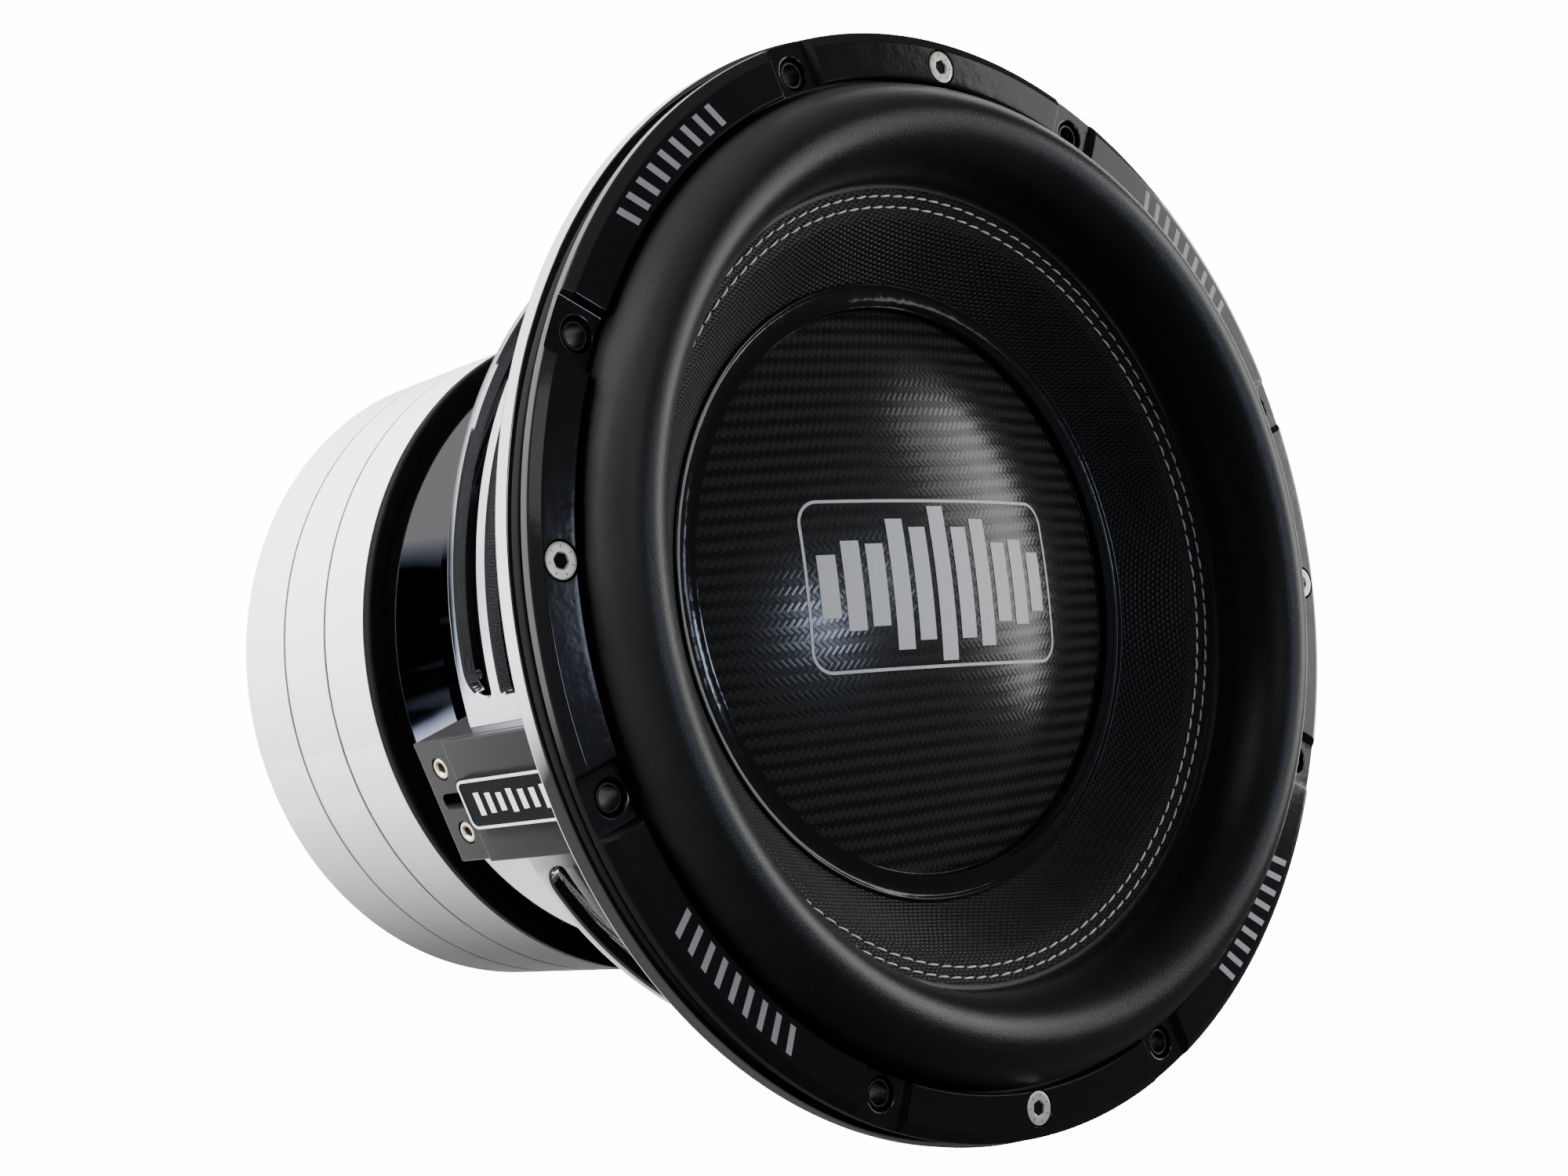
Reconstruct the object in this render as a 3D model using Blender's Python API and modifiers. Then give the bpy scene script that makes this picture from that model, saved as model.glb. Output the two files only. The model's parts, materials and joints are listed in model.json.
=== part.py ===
"""A 12 inch long-throw car subwoofer driver, standing on its motor.

Metres. Z runs along the voice coil's axis and out of the cone, Z = 0 is the motor's rear face,
and +X points at one of the four trim screws. Each object is one physical piece.
"""

import math

import bmesh
import bpy
from mathutils import Matrix, Vector

# Clearances
GAP = 0.0003
SLIDING_FIT = 0.0004

# Facets of a turned piece
RING_STEPS = 32
INNER_STEPS = 24
SPIDER_STEPS = 16
SMALL_STEPS = 8

# Overall sizes
BOLT_CIRCLE_RADIUS = 0.149
MOTOR_RADIUS = 0.1075
BASKET_DEPTH = 0.1415

# Motor
BACK_PLATE_THICKNESS = 0.0277
REAR_CHAMFER = 0.0025
EDGE_CHAMFER = 0.0004
MAGNET_THICKNESS = 0.0178
TOP_PLATE_THICKNESS = 0.012
COVER_WALL = 0.0065
COVER_SPLIT = 0.0251
MAGNET_BORE_MARGIN = 0.017
VENT_RADIUS = 0.014
VENT_MOUTH_RADIUS = 0.024
VENT_SEAT_DEPTH = 0.0035
VENT_FLARE_DEPTH = 0.014
POLE_EXTENSION = 0.006
BUMP_GROOVE_DEPTH = 0.006
SCREEN_THICKNESS = 0.0012
SCREEN_HOLE_RADIUS = 0.0042
SHORTING_RING_WALL = 0.0105
SHORTING_RING_HEIGHT = 0.012

# Voice coil
COIL_RADIUS = 0.0376
SLEEVE_WALL = 0.0011
SLEEVE_CLEARANCE = 0.0007
FORMER_WALL = 0.0005
WINDING_LAYER = 0.0014
WINDING_LENGTH = 0.044
GAP_CLEARANCE = 0.0015
COIL_TRAVEL = 0.020

# Basket
SEAL_HEIGHT = 0.0037
SEAL_WIDTH = 0.0167
DRUM_INSET = 0.018
COVE_DEPTH = 0.028
BASE_HEIGHT = 0.0312
COVE_HEIGHT = 0.0479
BASKET_WALL = 0.004
FLOOR_THICKNESS = 0.010
FLOOR_BORE_MARGIN = 0.008
SHELF_WIDTH = 0.009
SHELF_THICKNESS = 0.004
FLANGE_MARGIN = 0.0095
FLANGE_THICKNESS = 0.0055
SPOKE_COUNT = 4
SPOKE_START_DEG = 22.5
SPOKE_HALF_ANGLE_DEG = 11.1
WINDOW_SILL = 0.0029
LOWER_SLOT_HEIGHT = 0.010
RIB_HEIGHT = 0.005
WINDOW_HEAD = 0.004
WINDOW_CORNER = 0.008
RELIEF_HOLE_OFFSET_DEG = 13.8
RELIEF_HOLE_RADIUS = 0.0014
RELIEF_HOLE_DROP = 0.0019
COVE_STRAIGHT_SHARE = 0.12
COVE_POWER = 3.5
BASKET_BOLT_COUNT = 4
BASKET_BOLT_CIRCLE_RADIUS = 0.072
BASKET_BOLT_RADIUS = 0.003
BASKET_BOLT_HEAD_RADIUS = 0.005
BASKET_BOLT_HEAD_HEIGHT = 0.005
BASKET_BOLT_REACH = 0.009

# Spiders
SPIDER_THICKNESS = 0.0009
SPIDER_LIP = 0.007
SPIDER_COLLAR = 0.004
SPIDER_ROLLS = 3
SPIDER_AMPLITUDE = 0.003
SPACER_HEIGHT = 0.0128

# Surround and trim ring
SURROUND_THICKNESS = 0.0014
GASKET_THICKNESS = 0.0033
RING_THICKNESS = 0.0046
RING_INNER_MARGIN = 0.0052
RING_FACE_MARGIN = 0.005
RING_BEVEL_DROP = 0.0016
RING_INSET = 0.0012
RING_INNER_CHAMFER = 0.001
GASKET_INSET = 0.0035
LIP_OVERLAP = 0.0012
ROLL_CLEARANCE = 0.0005
ROLL_HALF_WIDTH = 0.0132
ROLL_HEIGHT = 0.0192
LAND_WIDTH = 0.0105
LAND_DROP = 0.004
LAND_RISE = 0.0035
ZONE_HALF_WIDTH = 0.0076
ZONE_DRAFT = 0.0012
ZONE_DEPTH = 0.0024
MOUNT_HOLE_COUNT = 8
MOUNT_HOLE_START_DEG = 22.5
MOUNT_HOLE_RADIUS = 0.0032
COUNTERBORE_RADIUS = 0.0046
TRIM_SCREW_COUNT = 4
TRIM_SCREW_RADIUS = 0.0025
TRIM_SCREW_HEAD_RADIUS = 0.0047
TRIM_SCREW_HEAD_HEIGHT = 0.0027
HEX_SOCKET_RADIUS = 0.0018

# Cone and dust cap
CONE_THICKNESS = 0.0012
CONE_SLOPE = 0.78
LEAD_HEADROOM = 0.0155
CAP_RADIUS = 0.0833
CAP_RISE = 0.0138
CAP_THICKNESS = 0.0012
CAP_SKIRT = 0.0033
CAP_RING_WIDTH = 0.0073
CAP_RING_HEIGHT = 0.0008
CAP_RING_FILLET = 0.002

# Terminals
TERMINAL_SPOKES = (("a", 2), ("b", 0))
TERMINAL_HALF_WIDTH = 0.0178
TERMINAL_STANDOFF = 0.0055
TERMINAL_DROP = 0.0196
TERMINAL_INNER_DEPTH = 0.031
COVER_THICKNESS = 0.002
COVER_OVERHANG = 0.0028
PLATE_HALF_WIDTH = 0.0072
PLATE_THICKNESS = 0.0026
PLATE_SETBACK = 0.0033
PORT_OFFSET = 0.0095
PORT_RADIUS = 0.0033
PORT_DEPTH_FROM_FACE = 0.0062
BLOCK_HALF_SIZES = (0.0042, 0.0045, 0.0048)
SET_SCREW_RISE = 0.0079
SET_SCREW_RADIUS = 0.0031
SET_SCREW_LENGTH = 0.0034
SET_SOCKET_RADIUS = 0.0017
BASE_SCREW_OFFSET = 0.0096
BASE_SCREW_RISE = 0.0156
BASE_SCREW_HEAD_RADIUS = 0.0019
BASE_SCREW_RADIUS = 0.0013
BASE_SCREW_LENGTH = 0.0142
SLOT_HALF_WIDTH = 0.0023
SLOT_DEPTH = 0.006
LEAD_RADIUS = 0.0011
LEAD_HUMP = 0.010
LEAD_POINTS = 10
LEAD_HOLE_RADIUS = 0.0026

# Levels that follow from the sizes above
MOTOR_TOP = BACK_PLATE_THICKNESS + 2 * MAGNET_THICKNESS + TOP_PLATE_THICKNESS + 3 * GAP
BASE_Z = MOTOR_TOP + SEAL_HEIGHT + 2 * GAP
BASE_TOP = BASE_Z + BASE_HEIGHT
SILL_Z = BASE_TOP + COVE_HEIGHT
FLANGE_BOTTOM = BASE_Z + BASKET_DEPTH
FLANGE_TOP = FLANGE_BOTTOM + FLANGE_THICKNESS
SURROUND_Z = FLANGE_TOP + GAP
RING_Z = SURROUND_Z + GASKET_THICKNESS + GAP
FACE_Z = RING_Z + RING_THICKNESS
FLOOR_TOP = MOTOR_TOP + GAP + FLOOR_THICKNESS
SHELF_TOP = BASE_TOP + 2 * GAP

# Radii that follow
FLANGE_RADIUS = BOLT_CIRCLE_RADIUS + FLANGE_MARGIN
DRUM_RADIUS = BOLT_CIRCLE_RADIUS - DRUM_INSET
BASE_RADIUS = DRUM_RADIUS - COVE_DEPTH
RING_INNER_RADIUS = BOLT_CIRCLE_RADIUS - RING_INNER_MARGIN
ROLL_OUTER = RING_INNER_RADIUS - ROLL_CLEARANCE
ROLL_CENTRE = ROLL_OUTER - ROLL_HALF_WIDTH
ROLL_INNER = ROLL_CENTRE - ROLL_HALF_WIDTH
LAND_INNER = ROLL_INNER - LAND_WIDTH
ROLL_Z = SURROUND_Z + SURROUND_THICKNESS / 2
FORMER_RADIUS = COIL_RADIUS + FORMER_WALL
POLE_RADIUS = COIL_RADIUS - SLEEVE_CLEARANCE - SLEEVE_WALL - GAP
GAP_RADIUS = FORMER_RADIUS + 2 * (WINDING_LAYER + GAP) + GAP_CLEARANCE
MAGNET_BORE = GAP_RADIUS + MAGNET_BORE_MARGIN
SHELL_INNER = MOTOR_RADIUS - COVER_WALL
GASKET_RADIUS = FLANGE_RADIUS - GASKET_INSET
LIP_RADIUS = RING_INNER_RADIUS + LIP_OVERLAP
COIL_MIDDLE = MOTOR_TOP - TOP_PLATE_THICKNESS / 2
TERMINAL_FACE = DRUM_RADIUS + TERMINAL_STANDOFF
TERMINAL_BOTTOM = SILL_Z - TERMINAL_DROP
TERMINAL_TOP = FLANGE_BOTTOM - 5 * GAP
COVER_BOTTOM = SILL_Z - COVER_OVERHANG
SCREW_Z = TERMINAL_BOTTOM + SET_SCREW_RISE
BASE_SCREW_Z = TERMINAL_BOTTOM + BASE_SCREW_RISE

FINISHES = {
    "brushed_steel": ((0.60, 0.61, 0.62), 1.0, 0.34),
    "plated_steel": ((0.52, 0.53, 0.55), 1.0, 0.38),
    "ferrite": ((0.05, 0.05, 0.055), 0.0, 0.7),
    "chrome": ((0.80, 0.81, 0.83), 1.0, 0.05),
    "copper": ((0.72, 0.36, 0.20), 1.0, 0.3),
    "aluminium": ((0.75, 0.75, 0.76), 1.0, 0.35),
    "black_rubber": ((0.02, 0.02, 0.022), 0.0, 0.55),
    "black_foam": ((0.015, 0.015, 0.015), 0.0, 0.9),
    "gloss_black": ((0.012, 0.012, 0.014), 0.0, 0.12),
    "screw_steel": ((0.72, 0.70, 0.66), 1.0, 0.28),
    "black_oxide": ((0.03, 0.03, 0.032), 0.8, 0.4),
    "spider_cloth": ((0.03, 0.028, 0.025), 0.0, 0.85),
    "black_plastic": ((0.025, 0.025, 0.027), 0.0, 0.5),
    "coil_wire": ((0.62, 0.30, 0.14), 1.0, 0.35),
    "woven_cone": ((0.03, 0.03, 0.032), 0.0, 0.45),
    "clear_resin": ((0.008, 0.008, 0.01), 0.0, 0.08),
    "carbon_gloss": ((0.03, 0.03, 0.032), 0.0, 0.1),
    "gunmetal": ((0.21, 0.21, 0.21), 1.0, 0.4),
    "brass": ((0.78, 0.62, 0.32), 1.0, 0.22),
    "tinsel": ((0.55, 0.50, 0.42), 0.8, 0.5),
}


def clear_scene():
    for obj in list(bpy.data.objects):
        bpy.data.objects.remove(obj)


def make_collection(name):
    collection = bpy.data.collections.new(name)
    bpy.context.scene.collection.children.link(collection)
    return collection


def make_finish(name):
    colour, metallic, roughness = FINISHES[name]
    material = bpy.data.materials.new(name)
    material.use_nodes = True
    shader = material.node_tree.nodes["Principled BSDF"]
    shader.inputs["Base Color"].default_value = (*colour, 1.0)
    shader.inputs["Metallic"].default_value = metallic
    shader.inputs["Roughness"].default_value = roughness
    return material


def shade(mesh, angle_deg=35.0):
    mesh.shade_smooth()
    mesh.set_sharp_from_angle(angle=math.radians(angle_deg))


def place(name, mesh, finish=None, turn_deg=0.0, at=(0.0, 0.0, 0.0)):
    """Links a mesh as a piece, or as a cutter when it has no finish."""
    obj = bpy.data.objects.new(name, mesh)
    obj.location = at
    obj.rotation_euler.z = math.radians(turn_deg)
    if finish is None:
        CUTTERS.objects.link(obj)
        obj.hide_render = True
        obj.display_type = "WIRE"
    else:
        PIECES.objects.link(obj)
        mesh.materials.append(MATERIALS[finish])
        shade(mesh)
    return obj


def clockwise(profile):
    """The profile in the order that a Screw needs: down its outer side."""
    area = 0.0
    for (r0, z0), (r1, z1) in zip(profile, profile[1:] + profile[:1]):
        area += r0 * z1 - r1 * z0
    return profile if area < 0 else profile[::-1]


def turned(name, profile, finish=None, steps=RING_STEPS, turn_deg=0.0, at=(0.0, 0.0, 0.0)):
    """A solid of revolution from a closed (radius, height) profile, whose axis points have radius 0."""
    points = clockwise(profile)
    on_axis = [i for i, (r, _) in enumerate(points) if r == 0.0]
    edges = [(i, (i + 1) % len(points)) for i in range(len(points))]
    edges = [edge for edge in edges if not (edge[0] in on_axis and edge[1] in on_axis)]
    mesh = bpy.data.meshes.new(name)
    mesh.from_pydata([(r, 0.0, z) for r, z in points], edges, [])
    obj = place(name, mesh, finish, turn_deg, at)
    screw = obj.modifiers.new("turn", "SCREW")
    screw.steps = steps
    screw.render_steps = steps
    screw.use_merge_vertices = True
    screw.merge_threshold = 0.00001
    screw.use_smooth_shade = finish is not None
    return obj


def ring_profile(inner, outer, bottom, top, chamfer=0.0):
    """A rectangle whose two outer corners are chamfered."""
    if chamfer == 0.0:
        return [(inner, top), (outer, top), (outer, bottom), (inner, bottom)]
    return [
        (inner, top),
        (outer - chamfer, top),
        (outer, top - chamfer),
        (outer, bottom + chamfer),
        (outer - chamfer, bottom),
        (inner, bottom),
    ]


def arc(centre, radii, start_deg, end_deg, count):
    """Points along an elliptical arc in a turned profile."""
    points = []
    for i in range(count + 1):
        angle = math.radians(start_deg + (end_deg - start_deg) * i / count)
        points.append((centre[0] + radii[0] * math.cos(angle), centre[1] + radii[1] * math.sin(angle)))
    return points


def rod(name, radius, start, end, finish=None, sides=SMALL_STEPS, turn_deg=0.0):
    """A cylinder between two points of the frame turned by turn_deg about Z."""
    start, end = Vector(start), Vector(end)
    along = end - start
    spin = along.to_track_quat("Z", "Y").to_matrix().to_4x4()
    mesh = bpy.data.meshes.new(name)
    work = bmesh.new()
    half_facet = Matrix.Rotation(math.pi / sides, 4, "Z")
    matrix = Matrix.Translation((start + end) / 2) @ spin @ half_facet
    bmesh.ops.create_cone(
        work, cap_ends=True, segments=sides, radius1=radius, radius2=radius, depth=along.length, matrix=matrix
    )
    work.to_mesh(mesh)
    work.free()
    return place(name, mesh, finish, turn_deg)


def block(name, low, high, finish=None, turn_deg=0.0, bevel=0.0):
    """A box between two corners of the frame turned by turn_deg about Z."""
    low, high = Vector(low), Vector(high)
    mesh = bpy.data.meshes.new(name)
    work = bmesh.new()
    matrix = Matrix.Translation((low + high) / 2) @ Matrix.Diagonal((*(high - low), 1.0))
    bmesh.ops.create_cube(work, size=1.0, matrix=matrix)
    work.to_mesh(mesh)
    work.free()
    obj = place(name, mesh, finish, turn_deg)
    if bevel:
        edge = obj.modifiers.new("edge", "BEVEL")
        edge.width = bevel
        edge.segments = 2
    return obj


def cut(obj, cutter, label="cut"):
    modifier = obj.modifiers.new(label, "BOOLEAN")
    modifier.operation = "DIFFERENCE"
    modifier.object = cutter


def hex_socket(name, radius, bottom, top, turn_deg=0.0, at=(0.0, 0.0)):
    return rod(name, radius, (at[0], at[1], bottom), (at[0], at[1], top), sides=6, turn_deg=turn_deg)


def spoke_angle(index):
    return SPOKE_START_DEG + 360.0 * index / SPOKE_COUNT


def cove_profile(clearance=0.0, count=5):
    """The basket's outer wall from the top of its base up to the sill, which flares like a trumpet."""
    points = []
    for i in range(count + 1):
        share = 1.0 - (1.0 - i / count) ** 1.3
        flare = COVE_STRAIGHT_SHARE * share + (1.0 - COVE_STRAIGHT_SHARE) * share**COVE_POWER
        points.append((BASE_RADIUS + clearance + COVE_DEPTH * flare, BASE_TOP + COVE_HEIGHT * share))
    return points


# ---------------------------------------------------------------- motor


def build_back_plate():
    seat_radius = VENT_MOUTH_RADIUS - 0.003
    pole_top = MOTOR_TOP + POLE_EXTENSION
    groove_outer = GAP_RADIUS + 0.003
    flare = arc(
        (seat_radius, VENT_SEAT_DEPTH + VENT_FLARE_DEPTH),
        (seat_radius - VENT_RADIUS, VENT_FLARE_DEPTH),
        -90.0,
        -180.0,
        3,
    )
    profile = [
        (VENT_RADIUS, pole_top),
        (POLE_RADIUS - 0.001, pole_top),
        (POLE_RADIUS, pole_top - 0.001),
        (POLE_RADIUS, BACK_PLATE_THICKNESS - BUMP_GROOVE_DEPTH),
        (groove_outer, BACK_PLATE_THICKNESS - BUMP_GROOVE_DEPTH),
        (groove_outer, BACK_PLATE_THICKNESS),
        (MOTOR_RADIUS - EDGE_CHAMFER, BACK_PLATE_THICKNESS),
        (MOTOR_RADIUS, BACK_PLATE_THICKNESS - EDGE_CHAMFER),
        (MOTOR_RADIUS, REAR_CHAMFER),
        (MOTOR_RADIUS - REAR_CHAMFER, 0.0),
        (VENT_MOUTH_RADIUS, 0.0),
        (VENT_MOUTH_RADIUS, VENT_SEAT_DEPTH),
    ]
    turned("back_plate", profile + flare, "brushed_steel")


def build_vent_screen():
    radius = VENT_MOUTH_RADIUS - GAP
    top = VENT_SEAT_DEPTH - GAP
    bottom = top - SCREEN_THICKNESS
    screen = rod("vent_screen", radius, (0, 0, bottom), (0, 0, top), "black_oxide", sides=INNER_STEPS)
    pitch = 2.6 * SCREEN_HOLE_RADIUS
    rows = int((radius - 2 * SCREEN_HOLE_RADIUS) / pitch)
    work = bmesh.new()
    for row in range(-rows, rows + 1):
        for column in range(-rows, rows + 1):
            x = pitch * (column + 0.5 * (row % 2))
            y = pitch * row * math.sqrt(0.75)
            if math.hypot(x, y) > radius - 2 * SCREEN_HOLE_RADIUS:
                continue
            bmesh.ops.create_cone(
                work,
                cap_ends=True,
                segments=6,
                radius1=SCREEN_HOLE_RADIUS,
                radius2=SCREEN_HOLE_RADIUS,
                depth=4 * SCREEN_THICKNESS,
                matrix=Matrix.Translation((x, y, (bottom + top) / 2)),
            )
    mesh = bpy.data.meshes.new("screen_holes")
    work.to_mesh(mesh)
    work.free()
    cut(screen, place("screen_holes", mesh))


def build_magnets():
    outer = SHELL_INNER - 0.0012
    bottom = BACK_PLATE_THICKNESS + GAP
    for name in ("magnet_rear", "magnet_front"):
        profile = ring_profile(MAGNET_BORE, outer, bottom, bottom + MAGNET_THICKNESS, 0.001)
        turned(name, profile, "ferrite", steps=INNER_STEPS)
        bottom += MAGNET_THICKNESS + GAP
    plate = turned("top_plate", ring_profile(GAP_RADIUS, outer, bottom, MOTOR_TOP), "plated_steel", steps=INNER_STEPS)
    for i in range(BASKET_BOLT_COUNT):
        angle = 360.0 * i / BASKET_BOLT_COUNT
        at = BASKET_BOLT_CIRCLE_RADIUS
        depth = BASKET_BOLT_REACH + GAP
        hole = rod(
            f"plate_hole_{i + 1}",
            BASKET_BOLT_RADIUS + SLIDING_FIT,
            (at, 0, MOTOR_TOP - depth),
            (at, 0, MOTOR_TOP + 0.002),
            turn_deg=angle,
        )
        cut(plate, hole)


def build_motor_covers():
    split = BACK_PLATE_THICKNESS + COVER_SPLIT
    rear = ring_profile(SHELL_INNER, MOTOR_RADIUS, BACK_PLATE_THICKNESS + GAP, split, EDGE_CHAMFER)
    turned("motor_cover_rear", rear, "brushed_steel")
    front = ring_profile(SHELL_INNER, MOTOR_RADIUS, split + GAP, MOTOR_TOP, EDGE_CHAMFER)
    turned("motor_cover_front", front, "brushed_steel")


def build_shorting_parts():
    inner = POLE_RADIUS + GAP
    top = MOTOR_TOP + POLE_EXTENSION - 0.001
    bottom = BACK_PLATE_THICKNESS + 0.020
    turned("pole_sleeve", ring_profile(inner, inner + SLEEVE_WALL, bottom, top), "copper")
    outer = MAGNET_BORE - 0.001
    bottom = BACK_PLATE_THICKNESS + GAP
    profile = ring_profile(outer - SHORTING_RING_WALL, outer, bottom, bottom + SHORTING_RING_HEIGHT, 0.0005)
    turned("shorting_ring", profile, "aluminium", steps=INNER_STEPS)


def build_seal_ring():
    outer = MOTOR_RADIUS + 0.0005
    bottom = MOTOR_TOP + GAP
    profile = ring_profile(outer - SEAL_WIDTH, outer, bottom, bottom + SEAL_HEIGHT, 0.0008)
    turned("motor_seal_ring", profile, "black_rubber")


# ---------------------------------------------------------------- basket


def basket_profile():
    inner_cove = [(r - BASKET_WALL, z) for r, z in cove_profile(count=3) if z > SHELF_TOP]
    pad_radius = MOTOR_RADIUS + 0.0005 - SEAL_WIDTH - GAP
    bore = GAP_RADIUS + FLOOR_BORE_MARGIN
    wall_inner = BASE_RADIUS - BASKET_WALL
    shelf_inner = wall_inner - SHELF_WIDTH
    outer = [
        (DRUM_RADIUS - BASKET_WALL, FLANGE_TOP),
        (FLANGE_RADIUS - 0.0006, FLANGE_TOP),
        (FLANGE_RADIUS, FLANGE_TOP - 0.0006),
        (FLANGE_RADIUS, FLANGE_BOTTOM + 0.0018),
        (FLANGE_RADIUS - 0.0006, FLANGE_BOTTOM + 0.0005),
        (FLANGE_RADIUS - 0.002, FLANGE_BOTTOM),
        (DRUM_RADIUS + 0.001, FLANGE_BOTTOM),
        (DRUM_RADIUS, FLANGE_BOTTOM - 0.001),
        (DRUM_RADIUS, SILL_Z + 0.0005),
    ]
    outer += cove_profile()[::-1]
    inner = [
        (BASE_RADIUS, BASE_Z),
        (pad_radius, BASE_Z),
        (pad_radius, MOTOR_TOP + GAP),
        (bore, MOTOR_TOP + GAP),
        (bore, FLOOR_TOP),
        (wall_inner, FLOOR_TOP),
        (wall_inner, SHELF_TOP - SHELF_THICKNESS - 0.003),
        (shelf_inner, SHELF_TOP - SHELF_THICKNESS),
        (shelf_inner, SHELF_TOP),
        (inner_cove[0][0], SHELF_TOP),
    ]
    return outer + inner + inner_cove[1:]


def window_cutter(name, start_deg, end_deg, bottom, top, rounded_bottom, rounded_top, sections=5):
    """A block bent round the axis between two angles, whose ends have rounded lower or upper corners."""
    inner_radius = DRUM_RADIUS - 3 * BASKET_WALL
    outer_radius = DRUM_RADIUS + 2 * BASKET_WALL
    corner_deg = math.degrees(WINDOW_CORNER / DRUM_RADIUS)
    shares = [0.0, 0.25, 1.0]
    stations = [(start_deg + corner_deg * s, 1.0 - s) for s in shares]
    straight_start = start_deg + corner_deg
    straight_end = end_deg - corner_deg
    for i in range(1, sections):
        stations.append((straight_start + (straight_end - straight_start) * i / sections, 0.0))
    stations += [(end_deg - corner_deg * s, 1.0 - s) for s in shares[::-1]]
    work = bmesh.new()
    loops = []
    for angle_deg, lean in stations:
        lift = WINDOW_CORNER * (1.0 - math.sqrt(max(0.0, 1.0 - lean * lean)))
        low = bottom + (min(lift, 0.9 * (top - bottom)) if rounded_bottom else 0.0)
        high = top - (min(lift, 0.9 * (top - bottom)) if rounded_top else 0.0)
        angle = math.radians(angle_deg)
        corners = [(inner_radius, low), (outer_radius, low), (outer_radius, high), (inner_radius, high)]
        loops.append([work.verts.new((r * math.cos(angle), r * math.sin(angle), z)) for r, z in corners])
    for first, second in zip(loops, loops[1:]):
        for i in range(4):
            j = (i + 1) % 4
            work.faces.new((first[i], first[j], second[j], second[i]))
    work.faces.new(loops[0])
    work.faces.new(loops[-1])
    bmesh.ops.recalc_face_normals(work, faces=work.faces)
    mesh = bpy.data.meshes.new(name)
    work.to_mesh(mesh)
    work.free()
    return place(name, mesh)


def build_basket():
    basket = turned("basket", basket_profile(), "chrome")
    sill = SILL_Z + WINDOW_SILL
    rib_bottom = sill + LOWER_SLOT_HEIGHT
    rib_top = rib_bottom + RIB_HEIGHT
    head = FLANGE_BOTTOM - WINDOW_HEAD
    for i in range(SPOKE_COUNT):
        start = spoke_angle(i) + SPOKE_HALF_ANGLE_DEG
        end = spoke_angle(i + 1) - SPOKE_HALF_ANGLE_DEG
        cut(basket, window_cutter(f"window_low_{i + 1}", start, end, sill, rib_bottom, True, False))
        cut(basket, window_cutter(f"window_high_{i + 1}", start, end, rib_top, head, False, True))
    for i in range(MOUNT_HOLE_COUNT):
        angle = MOUNT_HOLE_START_DEG + 360.0 * i / MOUNT_HOLE_COUNT
        ends = ((BOLT_CIRCLE_RADIUS, 0, FLANGE_BOTTOM - 0.002), (BOLT_CIRCLE_RADIUS, 0, FLANGE_TOP + 0.002))
        cut(basket, rod(f"flange_mount_hole_{i + 1}", MOUNT_HOLE_RADIUS, *ends, turn_deg=angle))
    for i in range(TRIM_SCREW_COUNT):
        ends = ((BOLT_CIRCLE_RADIUS, 0, FLANGE_BOTTOM - 0.002), (BOLT_CIRCLE_RADIUS, 0, FLANGE_TOP + 0.002))
        radius = TRIM_SCREW_RADIUS + SLIDING_FIT
        cut(basket, rod(f"flange_screw_hole_{i + 1}", radius, *ends, turn_deg=360.0 * i / TRIM_SCREW_COUNT))
    for i in range(BASKET_BOLT_COUNT):
        at = BASKET_BOLT_CIRCLE_RADIUS
        ends = ((at, 0, MOTOR_TOP - 0.002), (at, 0, FLOOR_TOP + 0.002))
        radius = BASKET_BOLT_RADIUS + SLIDING_FIT
        cut(basket, rod(f"floor_hole_{i + 1}", radius, *ends, turn_deg=360.0 * i / BASKET_BOLT_COUNT))
    for i in range(SPOKE_COUNT):
        angle = spoke_angle(i) - RELIEF_HOLE_OFFSET_DEG
        z = SILL_Z - RELIEF_HOLE_DROP
        ends = ((BASE_RADIUS, 0, z), (DRUM_RADIUS + 0.002, 0, z))
        cut(basket, rod(f"relief_hole_{i + 1}", RELIEF_HOLE_RADIUS, *ends, turn_deg=angle))
    for letter, spoke in TERMINAL_SPOKES:
        for number, side in ((1, -1), (2, 1)):
            turn = spoke_angle(spoke)
            y = side * PORT_OFFSET
            ends = ((BASE_RADIUS - 0.004, y, SCREW_Z), (TERMINAL_FACE - 0.002, y, SCREW_Z))
            cut(basket, rod(f"lead_hole_{letter}{number}", LEAD_HOLE_RADIUS, *ends, turn_deg=turn))
            y = side * BASE_SCREW_OFFSET
            ends = ((BASE_RADIUS, y, BASE_SCREW_Z), (TERMINAL_FACE, y, BASE_SCREW_Z))
            radius = BASE_SCREW_RADIUS + SLIDING_FIT
            cut(basket, rod(f"fixing_hole_{letter}{number}", radius, *ends, turn_deg=turn))


def build_basket_bolts():
    base = FLOOR_TOP + GAP
    top = base + BASKET_BOLT_HEAD_HEIGHT
    profile = [
        (0.0, top),
        (BASKET_BOLT_HEAD_RADIUS - 0.0005, top),
        (BASKET_BOLT_HEAD_RADIUS, top - 0.0005),
        (BASKET_BOLT_HEAD_RADIUS, base),
        (BASKET_BOLT_RADIUS, base),
        (BASKET_BOLT_RADIUS, MOTOR_TOP - BASKET_BOLT_REACH + GAP),
        (0.0, MOTOR_TOP - BASKET_BOLT_REACH + GAP),
    ]
    for i in range(BASKET_BOLT_COUNT):
        angle = math.radians(360.0 * i / BASKET_BOLT_COUNT)
        at = (BASKET_BOLT_CIRCLE_RADIUS * math.cos(angle), BASKET_BOLT_CIRCLE_RADIUS * math.sin(angle), 0.0)
        bolt = turned(f"basket_bolt_{i + 1}", profile, "black_oxide", steps=SMALL_STEPS, at=at)
        socket = hex_socket(f"bolt_socket_{i + 1}", 0.0028, top - 0.003, top + 0.001, at=at)
        cut(bolt, socket)


# ---------------------------------------------------------------- spiders and coil


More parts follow.
